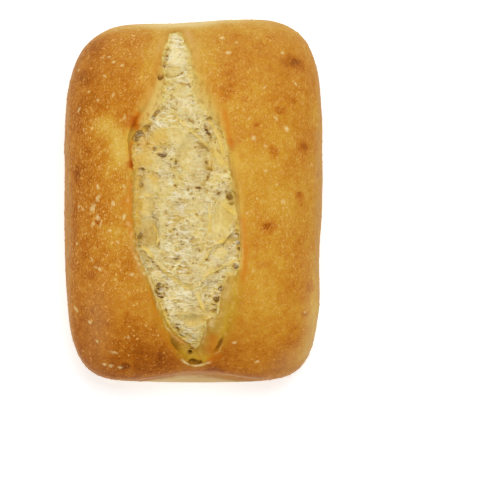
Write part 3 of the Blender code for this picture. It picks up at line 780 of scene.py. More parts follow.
END_BAKES = ((0.17, -58, -92), (0.02, -20, -70), (0.05, 20, 70), (-0.10, 88, 96))  # (how much, from, to)
SHOULDER_BAKE, SHOULDER_X, SHOULDER_Z = 0.10, (40, 66), (38, 60)  # these and the next places are in mm too
LEFT_BAKE, LEFT_X = 0.05, (-40, -64)
FAR_RIM_BAKE, FAR_RIM_Y, FAR_RIM_Z = 0.55, (80, 90), (43, 34)
FAR_RIM_X, FAR_RIM_WIDTH = -5, 33


def spots_at(places, spots, crispness=1):
    """The sum of soft spots at each place. A crispness above 1 gives them a flat middle and a clear edge."""
    total = np.zeros(len(places))
    for *mark, strength in spots:
        total += strength * bell(mark_reach(places, mark) ** crispness, 1.0)
    return total


def far_rim_at(places):
    """1 low in the middle of the far end, where the crust is paler, and 0 away from it."""
    x, y, z = places.T / MM
    return ramp(*FAR_RIM_Y, y) * ramp(*FAR_RIM_Z, z) * bell(x - FAR_RIM_X, FAR_RIM_WIDTH)


def bake_at(places):
    """How brown the crust is, from 0 to 1."""
    x, y, z = places.T / MM
    bake = MIDDLE_BAKE - LEAN_BAKE * np.tanh(x / LEAN_WIDTH)
    for amount, begin, full in END_BAKES:
        bake += amount * ramp(begin, full, y)
    bake -= FAR_RIM_BAKE * far_rim_at(places)
    bake += SHOULDER_BAKE * ramp(*SHOULDER_X, np.abs(x)) * ramp(*SHOULDER_Z, z) + LEFT_BAKE * ramp(*LEFT_X, x)
    for amount, size in MOTTLING:
        bake += amount * smooth_noise(places, size, seed=61)
    pulled = wander(places, SPOT_WANDER, seed=66)
    return bake + spots_at(pulled, BROWN_SPOTS, CRISP_SPOTS) - spots_at(pulled, PALE_SPOTS)


bake = bake_at(dough_places)
print(f"The bake runs from {bake.min():.2f} to {bake.max():.2f}, with {np.median(bake):.2f} in the middle")

# %% [markdown]
# ## Lines where the oven or the tearing coloured the dough
#
# Along the lips the thin crust browned to orange and rust, and along the edges of the torn crumb a thin skin
# is amber. One amber line inside the left lip is also painted light over a shaded crease. Each line is
# named by the pixels that it passes, and noise keeps its edges from looking drawn.

# %% Tinted lines
ORANGE_LINES = (  # along the lips, in pixels of the photograph, with a half-width and a strength
    (((164, 42), (160, 60), (155, 80), (148, 100), (141, 115)), 2.2, 0.35),
    (((140, 110), (137, 118), (136, 126), (136, 132)), 2.6, 0.9),
    (((134, 116), (132, 126), (131.6, 134)), 2.2, 0.50),
    (((133.6, 138), (132.6, 150), (132.6, 162), (132.6, 174)), 2.6, 0.80),
    (((126.5, 194), (127, 204), (128.6, 214)), 4.0, 0.45),
    (((131, 172), (130, 200), (130.6, 225), (132, 242)), 1.8, 0.60),
    (((147, 284), (154, 308), (164, 330)), 1.6, 0.40),
    (((222, 105), (227, 122), (230, 140), (232, 152)), 2.2, 0.65),
    (((241, 205), (243.4, 228), (245, 250), (245, 268), (242, 290)), 2.4, 0.58),
    (((216, 60), (219, 80), (222, 105)), 2.4, 0.25),
    (((160, 325), (170, 343), (178, 356)), 2.6, 0.35),
    (((206, 361), (214, 359), (222, 352)), 2.6, 0.60),
    (((211, 332), (214, 341), (214, 349), (209, 356)), 4.6, 0.60),
    (((168, 331), (176, 338), (186, 345)), 1.6, 0.45),
)
RUST_LINES = (  # the same, where the crust has browned most
    (((135, 114), (133.4, 121), (134.6, 128)), 2.8, 0.85),
    (((130.6, 160), (131.6, 164.5), (132.4, 169)), 3.0, 0.85),
    (((231, 136), (232.4, 144), (233, 152)), 1.8, 0.40),
    (((209.6, 167.6), (214, 169.6), (218, 168.6), (222.4, 163.6)), 1.3, 0.50),
    (((208, 344), (209, 351), (207, 358)), 3.2, 0.35),
)
AMBER_LINES = (  # along the edges of the torn crumb, in the same way
    # partly amber skin, and partly painted light over the shaded crease inside the left lip
    (((131.6, 126), (129.8, 137), (129.6, 148), (130.8, 158)), 2.8, 0.95),
    (((134, 150), (135, 170), (136, 200), (136, 225), (138, 245)), 4.0, 0.72),
    (((239, 196), (240.4, 215), (241.4, 240), (241.6, 260), (240, 280)), 2.2, 0.65),
    (((222, 110), (229, 130), (234, 150), (237, 175)), 3.0, 0.45),
    (((152, 118), (146, 126), (141, 134)), 2.2, 0.50),
    (((140, 152), (150, 141), (158, 137), (170, 138)), 6.0, 0.65),
    (((132, 160), (144, 158), (154, 164)), 5.0, 0.60),
    (((216, 122), (222, 140), (224, 160), (219, 172)), 3.4, 0.55),
    (((206, 172), (211, 166), (214, 158)), 3.0, 0.50),
    (((211, 147), (214, 153), (217, 158)), 3.0, 0.60),
    (((214.6, 172), (214, 177)), 2.4, 0.60),
    (((197, 304), (202, 312), (206, 322)), 3.2, 0.55),
    (((149, 173.6), (154, 178), (159, 183)), 2.6, 0.80),
)
TINT_WANDER = ((0.5 * MM, 3 * MM), (0.4 * MM, 1.2 * MM))
TINT_SPREAD = 1.5


def tinted_at(places, lines):
    """Where the dough is tinted along these lines, from 0 to 1."""
    pulled = wander(places, TINT_WANDER, seed=71)
    total = np.zeros(len(places))
    for line, half_width, strength in lines:
        distance, ends, _ = line_reach(pulled, line, LINE_FADE)
        total = np.maximum(total, strength * ends * bell(distance, TINT_SPREAD * half_width * PIXEL))
    return total


orange = only_in(burst_area, tinted_at, ORANGE_LINES) * (within_crumb < 0)
rust = only_in(burst_area, tinted_at, RUST_LINES)
amber = only_in(burst_area, tinted_at, AMBER_LINES)
print(f"{(orange + rust + amber > 0).sum()} points are tinted")

# %% [markdown]
# ## Pale walls, a floury foot and specks
#
# The walls of a loaf get less heat than its top, and its foot none but the tray's, so they stay pale, and the
# foot keeps its flour. The borders of both wave up and down. The fine pale specks of the crust are thicker on
# the left, and thin out towards the near end.

# %% Walls, foot and specks
WALL_TOP = 27 * MM  # the crust turns pale below this height
SIDE_TOP, SIDE_WIDTH = 13 * MM, 62 * MM  # and this much higher along the middle of the two sides
WALL_FADE = 8 * MM
FAR_PALENESS, FAR_END = 0.24, (50 * MM, 85 * MM)
WAVES, FINE_WAVES = (3 * MM, 9 * MM), (1.5 * MM, 3 * MM)  # how far the borders swing, and the swings' size
FOOT = 4 * MM  # the height of the floury foot
FOOT_EDGE = (1.1, 0.5)  # it begins and is full at these shares of its height
NEAR_END, LOWER_FOOT = (-85 * MM, -94 * MM), 0.4  # it is lower by this share at the near corners
NEAR_FOOT, NEAR_FOOT_X, NEAR_FOOT_WIDTH = 15 * MM, -5 * MM, 28 * MM  # and higher between them
FAR_FOOT = 0.65
SPECKS, SPECK_LEAN, SPECK_WIDTH = 0.75, 0.25, 25 * MM  # more of them on the left than on the right
PATCHY = (0.80, 0.45, 8 * MM)  # mean, swing and size
FLECKS_LOST, FLECKS_END = 0.75, (-15 * MM, -85 * MM)  # fewer flecks towards the near end

x, y, z = dough_places.T
waves = WAVES[0] * smooth_noise(dough_places, WAVES[1], seed=75)
fine_waves = FINE_WAVES[0] * smooth_noise(dough_places, FINE_WAVES[1], seed=77)
paleness = ramp(WALL_FADE, 0.0, z + waves - WALL_TOP - SIDE_TOP * bell(y, SIDE_WIDTH))
paleness = np.maximum(paleness, FAR_PALENESS * ramp(*FAR_END, y))
near_end = ramp(*NEAR_END, y)
foot_top = FOOT * (1 - LOWER_FOOT * near_end) + NEAR_FOOT * near_end * bell(x - NEAR_FOOT_X, NEAR_FOOT_WIDTH)
foot = ramp(FOOT_EDGE[0] * foot_top, FOOT_EDGE[1] * foot_top, z + waves / 2 + fine_waves)
foot = np.maximum(foot, FAR_FOOT * far_rim_at(dough_places))
foot = np.maximum(foot, spots_at(dough_places, FLOURY_SPOTS))
speckle = (SPECKS - SPECK_LEAN * np.tanh(x / SPECK_WIDTH)) * uneven(dough_places, *PATCHY, seed=76)
flecked = speckle * (1 - FLECKS_LOST * ramp(*FLECKS_END, y))
print(f"{paleness.mean():.0%} of the skin is pale wall and {foot.mean():.0%} floury")

# %% [markdown]
# ## Measures that stay with the points
#
# Cutting and subdividing renumber the points, so every measure that a later step or a material needs is
# kept on the mesh as an attribute. The direction of the whole skin at each point is kept too, because along
# a cut the mesh would otherwise shade itself from one side only, and the seam would show.

# %% Keep the measures as attributes
RAW_FROM = (-72 * MM, 0.0)  # the stretched skin is baked at the near end, and raw from the middle on
DARKEST_HOLE = 2.0  # in mm, from which depth a hole's painted shade is full
CELL_DARKNESS, PORE_DARKNESS = 0.35, 0.7  # painted shade in the skin's cells and pores, for each mm of depth


def save_measure(piece, name, values):
    """Keeps a number or a direction for each point of a piece."""
    kind, field = ("FLOAT", "value") if values.ndim == 1 else ("FLOAT_VECTOR", "vector")
    measure = piece.data.attributes.new(name, kind, "POINT")
    measure.data.foreach_set(field, values.astype(np.float32).ravel())


# Painted shade: the skin near the torn edge is darker in its cells, pores and holes.
cell_and_pore_shade = CELL_DARKNESS * cells_in_dough + PORE_DARKNESS * pores_in_dough
measures = {
    "within_lips": within_lips,
    "within_crumb": within_crumb,
    "bake": bake,
    "blister": blisters,
    "flake": flakes,
    "orange": orange,
    "rust": rust,
    "amber": amber,
    "paleness": paleness,
    "foot": foot,
    "speckle": speckle,
    "flecked": flecked,
    "rawness": ramp(*RAW_FROM, y + waves),
    # painted shade in holes, and in the skin's pores
    "hole": np.clip(holes_in_dough / DARKEST_HOLE, 0, 1),
    "pored": pored * np.clip(cell_and_pore_shade, 0, 1),
    "facing": normals_of(dough),
}
for name, values in measures.items():
    save_measure(dough, name, values)
print("Kept:", list(measures))

# %% [markdown]
# ## Cut the skin into pieces
#
# The crust and the crumb need different finishes and cells of a different size, so the skin is cut along
# the torn edge. The crust is cut again where nobody sees it: at the shoulder of the walls, round the base,
# and down the middle of the two ends. The base is flat, so its inner cells go, and one face fills its
# border.

# %% Cut
SHOULDER = 26 * MM
BASE_EDGE = 0.4 * MM


def cut_out(piece, chosen_faces, name):
    """Separates the chosen faces into a piece of their own."""
    select_only(piece)
    piece.data.polygons.foreach_set("select", chosen_faces)
    before = set(bpy.data.objects)
    bpy.ops.object.mode_set(mode="EDIT")
    bpy.ops.mesh.select_mode(type="FACE")
    bpy.ops.mesh.separate(type="SELECTED")
    bpy.ops.object.mode_set(mode="OBJECT")
    part = (set(bpy.data.objects) - before).pop()
    part.name = name
    part.data.name = name
    return part


def face_means(piece, values):
    """The mean over each face's corners of a number kept for each point. All faces are quads here."""
    corners = np.empty(len(piece.data.loops), np.int32)
    piece.data.loops.foreach_get("vertex_index", corners)
    return values[corners].reshape(-1, 4).mean(axis=1)


def fill_border(piece):
    """Swaps all faces of a flat piece for one face inside its border."""
    select_only(piece)
    bpy.ops.object.mode_set(mode="EDIT")
    bpy.ops.mesh.select_mode(type="FACE")
    bpy.ops.mesh.select_all(action="SELECT")
    bpy.ops.mesh.region_to_loop()
    bpy.ops.mesh.select_mode(type="VERT")
    bpy.ops.mesh.select_all(action="INVERT")
    bpy.ops.mesh.delete(type="VERT")
    bpy.ops.mesh.select_all(action="SELECT")
    bpy.ops.mesh.delete(type="ONLY_FACE")
    bpy.ops.mesh.select_all(action="SELECT")
    bpy.ops.mesh.edge_face_add()
    bpy.ops.object.mode_set(mode="OBJECT")


crumb = cut_out(dough, face_means(dough, within_crumb) > 0, "torn_crumb")
base = cut_out(dough, face_means(dough, points_of(dough)[:, 2]) < BASE_EDGE, "base_crust")
walls = cut_out(dough, face_means(dough, points_of(dough)[:, 2]) < SHOULDER, "wall_crust")
right = cut_out(dough, face_means(dough, points_of(dough)[:, 0]) > 0, "right_crust")
left = dough
left.name = left.data.name = "left_crust"
fill_border(base)
for piece in (crumb, base, walls, right, left):
    print(f"{piece.name}: {len(piece.data.polygons)} faces")

# %% [markdown]
# ## The torn crumb
#
# Where dough is torn apart, its gas cells open. A few large bubbles leave smooth rounded walls with hardly
# any pits, and between them the crumb is torn into strands. The crumb's mesh cells are halved first, so
# that it can carry holes of a millimetre.

# %% Finer cells, and the large bubbles
BUBBLES = (  # (x, y of the photograph, half-length, half-width in pixels, turn, smoothness, depth in mm)
    (198, 161, 22, 14, 62, 0.35, 0), (193, 161, 24, 19, 62, 0, 0.7), (187, 156, 9, 18, 15, 0.80, 0),
    (150, 188, 11, 9, 0, 0.9, 0.7), (151, 233, 8, 15, 8, 0.85, 1.0), (147, 206, 8, 9, 0, 0.8, 0.7),
    (224, 214, 22, 11, 68, 0.95, 0.6), (172, 136, 20, 7, -5, 0.8, 0.2), (181, 91, 9, 8, 0, 0.85, 0.9),
    (177, 110, 6, 3.6, -30, 0.9, 0.7), (174, 71, 9, 4.6, 20, 0.7, 1.0), (150, 160, 14, 8, -20, 0.6, 0.3),
    (193, 320, 11.5, 5.2, 0, 0.9, 1.0), (221, 252, 7, 5.5, 0, 0.8, 0.6), (215, 228, 10, 16, 20, 0.7, 0.0),
    (200, 300, 3, 10, 20, 0.8, 0.3), (192.5, 124, 3.6, 3, 0, 0.7, 0.4), (178, 57, 8, 8, 0, 0.55, 0.0),
    (195, 215, 8, 22, 0, 0.4, 0.0), (162, 226, 5, 20, 0, 0.4, 0.0), (200, 333, 5, 8, 0, 0.6, 0.2),
    (206, 276, 6, 5, 0, 0.4, 0.2), (221, 148, 24, 6, 68, 0.65, 0.0), (205, 108, 9, 6, 50, 0.6, 0.0),
    (187, 110, 8, 14, 0, 0.35, 0.0), (165, 200, 8, 20, 0, 0.45, 0.0), (144, 258, 8, 5, 50, 0.5, 0.0),
    (190, 150, 9, 14, 0, 0.45, 0.2),
)
BUBBLE_WANDER = ((1.3 * MM, 5 * MM), (0.6 * MM, 2 * MM))
SMOOTH_EDGE, BOWL_EDGE = (1.20, 0.80), (1.08, 0.55)  # smooth walls and bowls begin and are full here
MOSTLY_SMOOTH = 0.5


def bubbles_at(places):
    """How smooth the crumb is, from 0 to 1 on a large bubble's wall, and how deep the bubbles are, in mm."""
    pulled = wander(places, BUBBLE_WANDER, seed=81)
    smooth = np.zeros(len(places))
    depth = np.zeros(len(places))
    for *mark, strength, deepest in BUBBLES:
        out = mark_reach(pulled, mark)
        smooth = np.maximum(smooth, strength * ramp(*SMOOTH_EDGE, out))
        depth = np.maximum(depth, deepest * ramp(*BOWL_EDGE, out))
    return smooth, depth


select_only(crumb)
bpy.ops.object.mode_set(mode="EDIT")
bpy.ops.mesh.select_all(action="SELECT")
bpy.ops.mesh.subdivide(number_cuts=1)
bpy.ops.mesh.select_all(action="DESELECT")  # or else the next cut would take every face
bpy.ops.object.mode_set(mode="OBJECT")
crumb_places = points_of(crumb)
smoothness, bowls = bubbles_at(crumb_places)
smooth_part = (smoothness > MOSTLY_SMOOTH).mean()
print(f"The crumb has {len(crumb.data.polygons)} cells, {smooth_part:.0%} of it smooth")

# %% [markdown]
# ## Edges of skin
#
# Along some lines the edge of a thin yellow skin stands up over the crumb: it rises gently on one side and
# drops steeply on the other. Each is a line of the photograph with a height, and the distance to the line and
# the side of it give the shape.

# %% Edges of skin
FOLDS = (  # edges of skin, steep on their right: (pixels, height and half-width in mm, share of skin)
    ((
        (163, 106), (174, 115), (183, 124.5), (190, 131), (199, 138), (206, 146), (211.3, 152.7),
    ), 0.9, 1.3, 1.0),
    (((211, 152), (215, 157), (218, 163), (222, 163)), 0.8, 1.5, 0.8),
    (((157, 130), (170, 128.6), (180.7, 128), (189, 128.6)), 0.5, 0.6, 0.6),
    (((138, 243.5), (147.3, 252.7), (156.7, 262.7), (166, 274), (174, 279.5)), 0.6, 0.9, 0.9),
    (((166, 274), (174, 279.3), (180.7, 284.7), (188.7, 288.7), (195, 290)), 0.8, 1.2, 1.0),
    ((
        (199.3, 272.7), (202.7, 262.7), (210, 250), (215.3, 246), (222, 242), (228.7, 235.3), (235, 230),
    ), 0.7, 1.0, 0.95),
    (((210, 200), (208.7, 210), (210, 220.7), (207.3, 234), (205.3, 243), (203.3, 252.7)), 0.3, 0.8, 0.7),
    (((158, 246), (157.3, 238), (156, 231), (152.7, 223)), 0.6, 0.8, 0.9),
    (((196, 290), (206, 277), (220, 269), (232, 262), (240, 260)), 0.5, 0.8, 0.8),
    (((195, 292), (197.5, 301), (201, 306), (204.8, 312), (207.5, 317)), 0.7, 1.1, 0.8),
    ((
        (190, 343.5), (181.6, 338), (175.5, 331.5), (169.8, 324.5), (165.2, 315), (161.6, 306), (158, 297.5),
    ), 0.4, 0.7, 0.6),
    (((178, 323), (183, 316), (192.6, 313.4), (201, 316), (206, 321)), 0.5, 0.5, 0.3),
    (((206, 321), (201, 325), (192, 326), (184, 324), (178, 322)), 0.4, 0.5, 0.3),
    (((221, 203), (228, 210.6), (235.5, 215.6)), 0.7, 1.2, 0.8),
    (((217.6, 168.6), (222, 165), (224.4, 160.4)), 0.5, 0.8, 0.8),
    (((207, 116), (213, 128), (219, 143), (224, 157)), 0.3, 0.8, 0.7),
    (((163, 65), (170, 62.6), (177, 62), (183, 64)), 0.4, 0.5, 0.4),
    (((139, 200), (145, 196), (152, 197), (155, 203)), 0.3, 0.6, 0.5),
)
FOLD_WANDER = ((0.6 * MM, 4 * MM), (0.25 * MM, 1.3 * MM))
FOLD_FADE = 0.15
FOLD_SWING, WORN = (0.75, 0.5, 4 * MM), (0.90, 0.35, 2.2 * MM)  # of height and of skin: mean, swing and size
GENTLE_SIDE, STEEP_SIDE, SKIN_SIDE = 2.0, 0.8, 1.5  # how far these reach, in half-widths
MOST_SKIN = 0.95


def folds_at(places):
    """How high the edges of skin stand, in mm, and how much skin is at each place, from 0 to 1."""
    pulled = wander(places, FOLD_WANDER, seed=121)
    swing = uneven(places, *FOLD_SWING, seed=128)
    height = np.zeros(len(places))
    share = np.zeros(len(places))
    for line, highest, half_width, skin in FOLDS:
        distance, ends, side = line_reach(pulled, line, FOLD_FADE)
        steep = ramp(STEEP_SIDE * half_width * MM, 0.0, distance)
        gentle = bell(distance, GENTLE_SIDE * half_width * MM)
        covered = bell(distance, SKIN_SIDE * half_width * MM)
        height = np.maximum(height, highest * ends * swing * np.where(side > 0, gentle, steep))
        share = np.maximum(share, skin * ends * swing * np.where(side > 0, covered, steep))
    return height, np.clip(share * uneven(places, *WORN, seed=129), 0, MOST_SKIN)


folds, fold_share = folds_at(crumb_places)
print(f"{len(FOLDS)} edges of skin, up to {folds.max():.1f} mm high")

# %% [markdown]
# ## Strands
#
# Where the dough was pulled apart it left fine strands across the loaf. Smooth noise that is stretched across
# the loaf crosses its middle value along long thin lines, and a strand lies along each of them. The walls of
# large bubbles and the skins have none.

# %% Strands
STRAND_SIZE = (8.0, 1.40, 1.8)  # mm along the strand, across it and upwards
STRAND_WANDER = ((1.1 * MM, 6 * MM),)
STRAND_EDGE = 0.32
STRANDED = (  # where strands are strongest: (x, y of the photograph, half-length, half-width, turn, extra)
    (166, 120, 15, 8, 0, 1.1), (172, 296, 16, 16, 0, 0.5), (192, 336, 10, 10, 0, 1.1),
    (177, 44, 8, 11, 0, 1.6), (178, 230, 13, 40, 0, 1.0), (216, 297, 7, 18, 0, 0.8),
    (160, 290, 6, 10, 0, 0.6), (178, 270, 20, 8, 0, 1.0), (236, 247, 4, 18, 0, 1.0),
)
STRANDS_EVERYWHERE, STRANDED_EDGE = 0.8, (1.3, 0.5)
SMOOTH_COVER, SKIN_COVER = 0.90, 0.8  # how much of the strands and cells is closed there


def strands_at(places):
    """How much of a torn strand is at each place, from 0 to 1, and how strong the strands are there."""
    pulled = wander(places, STRAND_WANDER, seed=131)
    swing = smooth_noise(pulled, np.array(STRAND_SIZE) * MM, seed=135)
    strength = np.full(len(places), STRANDS_EVERYWHERE)
    for *mark, extra in STRANDED:
        strength += extra * ramp(*STRANDED_EDGE, mark_reach(places, mark))
    return ramp(STRAND_EDGE, 0.0, np.abs(swing)), strength


bare = (1 - SMOOTH_COVER * smoothness) * (1 - SKIN_COVER * fold_share)
strands, strand_strength = strands_at(crumb_places)
strand_strength *= bare
print(f"Strands have a strength of {strand_strength.mean():.2f}, and {strand_strength.max():.2f} at most")

# %% [markdown]
# ## The crumb's relief
#
# Cells, pores, holes and bubbles press the crumb in, and edges of skin and strands lift it. Both die away at
# the torn edge, where the crumb joins the crust, so that no gap opens there. The points move along the
# directions that the whole skin had before it was cut.

# %% Displace the crumb
PORE_COVER = 0.7  # how much of the pores is closed by smooth walls and by skins
HOLE_SHARE = 0.5  # how much of a hole's depth is pressed into the crumb. Its painted shade does the rest
STRAND_HEIGHT = 0.22
EDGE_FADE = 0.7 * MM
BOWL_FADES, RISE_FADES = 4, 2  # times that width


def read_measure(piece, name):
    """The numbers kept under this name, or the directions."""
    measure = piece.data.attributes[name]
    wide = measure.data_type == "FLOAT_VECTOR"
    values = np.empty(len(piece.data.vertices) * (3 if wide else 1), np.float32)
    measure.data.foreach_get("vector" if wide else "value", values)
    return values.reshape(-1, 3).astype(float) if wide else values.astype(float)


inside = read_measure(crumb, "within_crumb")
cells = cells_at(crumb_places) * bare
pores = pores_at(crumb_places) * (1 - PORE_COVER * smoothness) * (1 - PORE_COVER * fold_share)
holes = holes_at(crumb_places)
depth = (cells + np.maximum(pores, HOLE_SHARE * holes)) * ramp(0.0, EDGE_FADE, inside)
depth += bowls * ramp(0.0, BOWL_FADES * EDGE_FADE, inside)
rise = (folds + STRAND_HEIGHT * strands * strand_strength) * ramp(0.0, RISE_FADES * EDGE_FADE, inside)
move_points(crumb, crumb_places + read_measure(crumb, "facing") * (rise - depth)[:, None] * MM)
print(f"The crumb goes {depth.max():.1f} mm down and its skins {rise.max():.1f} mm up")

# %% [markdown]
# ## The crumb's painted shade
#
# What lies deep or behind a strand gets less light and looks browner, more so than such fine relief could
# show by its shadows alone. So each point also gets a painted shade, from the relief itself and from dark
# and pale marks of the photograph, which are painted shade and painted light. In a few greyish hollows the
# crumb has no yellow skin.

# %% Shade the crumb
# Marks of painted shade, and of painted light where their shade is below 0.
SHADES = (  # dark marks, pale where below 0: (x, y of the photograph, half-length, half-width, turn, shade)
    (138.6, 135, 6, 2.4, 44, 0.62), (139.8, 185.4, 1.8, 3.6, 0, 0.40), (148, 126, 4.5, 1.5, 40, 0.28),
    (154.6, 115, 6, 1.3, 52, 0.18), (211, 168.2, 3.2, 1.5, -20, 0.55), (213.6, 152, 1.6, 7, 20, 0.14),
    (219, 150, 3, 8, 10, 0.14), (153.4, 148.6, 4, 2.6, 0, 0.12), (178, 136, 12, 4, 0, 0.08),
    (190, 82, 4, 9, 0, -0.20), (180, 44, 4, 8, 0, -0.10), (184, 92, 17, 40, 0, -0.07),
    (200, 128, 12, 10, 0, -0.09), (202.5, 147, 9, 2.4, -42, 0.26), (207.2, 168, 2.4, 13, 8, 0.34),
    (200, 164, 7, 16, 8, 0.13), (141, 235, 4, 9, 0, 0.18), (149, 236, 7, 13, 0, 0.34),
    (201, 186, 5, 2.4, 20, 0.16), (140, 206, 3, 8, 0, 0.26), (229, 211, 5, 8, 30, 0.20),
    (231, 200, 4, 7, 0, 0.12), (236.4, 246, 2.0, 15, 0, 0.10), (158, 290, 4.5, 8, 20, 0.45),
    (165, 310, 3, 10, 25, 0.18), (216, 297, 5, 10, -15, 0.18), (176, 329, 4, 8, 35, 0.28),
    (174, 70, 10, 5, 20, 0.12), (177, 110, 6, 4, -20, 0.16), (192, 122, 5, 4, 0, 0.08),
    (209, 132, 3, 9, 20, 0.22), (156, 149, 9, 6, -20, 0.04), (175, 164, 6, 7, 0, 0.16),
    (144, 186, 5, 5, 0, 0.14), (193, 320, 11, 5, 0, 0.16), (184, 94, 8, 6, 0, 0.12),
    (184, 85.5, 7, 1.6, -6, 0.20), (165, 60, 2.4, 10, -5, 0.22), (138, 141, 5, 4, 40, 0.18),
    (236, 266, 4, 4, 0, 0.30), (215, 270, 9, 4, 10, 0.06), (192, 345, 4, 4, 0, 0.10),
    (141, 212, 4, 8, 0, 0.12), (203, 335, 3, 10, 0, 0.24), (182, 270, 9, 3, -5, 0.14),
    (176, 258, 5, 3, 0, 0.12), (178, 232, 12, 34, 0, -0.03), (166, 121, 13, 5, 0, -0.14),
    (189, 336, 8, 7, 0, -0.08), (175, 46, 9, 18, 0, -0.24), (178, 300, 16, 14, 0, -0.14),
    (186, 286, 6, 3, -30, -0.06), (138.5, 208, 4, 32, 0, 0.22), (140, 168, 5, 12, 0, 0.14),
    (201, 127, 7, 10, 0, -0.20), (212, 180, 4.5, 24, 0, -0.26), (221.5, 151, 4, 9, 0, 0.22),
    (228, 224, 8, 11, 0, 0.08), (184, 105, 8, 8, 0, -0.14), (181, 190, 7, 18, 0, -0.10),
    (184, 258, 9, 8, 0, -0.10), (209, 290, 5, 14, 0, -0.12), (201, 194, 7, 4, 0, -0.10),
    (155, 145, 9, 7, 0, -0.08),
)
SKINLESS = (  # greyish hollows without yellow skin: (x, y, half-length, half-width, turn, share)
    (198.6, 163, 21, 8.5, -84, 1.0), (177, 110, 6, 3.4, -25, 0.8), (184, 93, 6, 5, 0, 0.6),
    (142.6, 262, 17, 5, -66, 0.9), (144, 236, 6, 11, 0, 0.8), (146, 187, 8, 6, 0, 0.7),
    (135, 196, 2.4, 18, 0, 0.5),
)
# Painted shade: the crumb is darker the deeper its cells, pores and holes go, and between the strands.
BARE_SHADE, CELL_SHADE, PORE_SHADE, HOLE_SHADE = 0.19, 0.30, 0.60, 0.36  # the last three for each mm of depth
DEEPEST_SHADED = 2  # mm
STRAND_SHADE, STRAND_MIDDLE = 0.16, 0.45
COARSE_MOTTLE, FINE_MOTTLE = (0.0, 0.12, 4 * MM), (0.0, 0.06, 1.5 * MM)
SHADE_WANDER = ((0.8 * MM, 3 * MM),)
MOST_STRANDED = 2.5

# Each point's painted shade, with uneven tone mottled over it.
shade = BARE_SHADE + CELL_SHADE * cells + PORE_SHADE * pores + HOLE_SHADE * np.clip(holes, 0, DEEPEST_SHADED)
shade += uneven(crumb_places, *COARSE_MOTTLE, seed=141) + uneven(crumb_places, *FINE_MOTTLE, seed=142)
shade += STRAND_SHADE * strand_strength * (STRAND_MIDDLE - strands)
shade += spots_at(wander(crumb_places, SHADE_WANDER, seed=145), SHADES)
crumb_measures = {
    "shade": shade,
    "fold": fold_share,
    "skinless": spots_at(crumb_places, SKINLESS),
    "smoothness": smoothness,
    "stranded": strand_strength / MOST_STRANDED,
}
for name, values in crumb_measures.items():
    save_measure(crumb, name, np.clip(values, 0, 1))
print(f"The crumb's shade is {shade.mean():.2f} on average, from {shade.min():.2f} to {shade.max():.2f}")

# %% [markdown]
# ## Two halves of crumb, and smooth shading
#
# A piece stays under 200,000 triangles, so the crumb is cut across its middle. All pieces come down
# together by the fraction of a millimetre that smoothing lifted the base, so that the loaf stands on the
# floor. Then they get the directions of the whole skin back, so their seams don't show.

# %% Halve the crumb and shade all pieces smooth
save_measure(crumb, "torn_facing", normals_of(crumb))
far_crumb = cut_out(crumb, face_means(crumb, points_of(crumb)[:, 1]) > 0, "far_crumb")
near_crumb = crumb
near_crumb.name = near_crumb.data.name = "near_crumb"
crust_pieces = (walls, right, left, base)
crumb_pieces = (far_crumb, near_crumb)
lowest = points_of(base)[:, 2].min()
for piece in (*crust_pieces, *crumb_pieces):
    move_points(piece, points_of(piece) - np.array((0, 0, lowest)))
    piece.data.shade_smooth()
    print(f"{piece.name}: {sum(len(face.vertices) - 2 for face in piece.data.polygons)} triangles")
for piece in (walls, right, left):
    piece.data.normals_split_custom_set_from_vertices(read_measure(piece, "facing"))
for piece in crumb_pieces:
    piece.data.normals_split_custom_set_from_vertices(read_measure(piece, "torn_facing"))
print(f"The loaf came down by {lowest / MM:.2f} mm, onto the floor")

# %% [markdown]
# ## Finishes
#
# Both finishes are built from shader nodes that read the loaf's own coordinates and the measures kept on
# its points. The crust turns its bake into colour, then scatters fine pale blisters over it. The stretched
# skin inside the lips fades from crust to crumb.

# %% Helpers for shader nodes
WHITE_LEVEL = 255  # the brightest value of a picture's colour
SRGB_BEND, SRGB_SLOPE, SRGB_OFFSET, SRGB_POWER = 0.04045, 12.92, 0.055, 2.4  # the rule for screen colours


def fill_inputs(tree, node, inputs):
    """Fills a node's inputs with values or with other nodes' outputs."""
    for socket, value in inputs.items():
        if isinstance(value, bpy.types.NodeSocket):
            tree.links.new(value, node.inputs[socket])
        else:
            node.inputs[socket].default_value = value


def add_node(tree, kind, inputs, **settings):
    """Adds a shader node with its own settings, and fills its inputs."""
    node = tree.nodes.new(kind)
    for name, value in settings.items():
        setattr(node, name, value)
    fill_inputs(tree, node, inputs)
    return node


def new_finish(name):
    """An empty material, its node tree and its main shader."""
    finish = bpy.data.materials.new(name)
    finish.use_nodes = True
    return finish, finish.node_tree, finish.node_tree.nodes["Principled BSDF"]


def linear(red, green, blue):
    """A colour read off a picture as 0 to 255, as the linear light that shaders use."""
    parts = np.array((red, green, blue)) / WHITE_LEVEL
    bright = ((parts + SRGB_OFFSET) / (1 + SRGB_OFFSET)) ** SRGB_POWER
    return (*np.where(parts <= SRGB_BEND, parts / SRGB_SLOPE, bright).tolist(), 1.0)


def measure_of(tree, name):
    """The number that the mesh keeps under this name."""
    return add_node(tree, "ShaderNodeAttribute", {}, attribute_name=name).outputs["Fac"]


def mapped(tree, value, low, high):
    """A value stretched from low..high to 0..1, smoothly and clipped."""
    inputs = {"Value": value, "From Min": low, "From Max": high}
    return add_node(tree, "ShaderNodeMapRange", inputs, interpolation_type="SMOOTHSTEP").outputs["Result"]


def combined(tree, operation, first, second):
    """Two numbers put together by one operation."""
    return add_node(tree, "ShaderNodeMath", {0: first, 1: second}, operation=operation).outputs["Value"]


def product(tree, first, *others):
    """Numbers multiplied with each other."""
    for other in others:
        first = combined(tree, "MULTIPLY", first, other)
    return first


def rest_of(tree, share):
    """What a share leaves of 1."""
    return combined(tree, "SUBTRACT", 1.0, share)


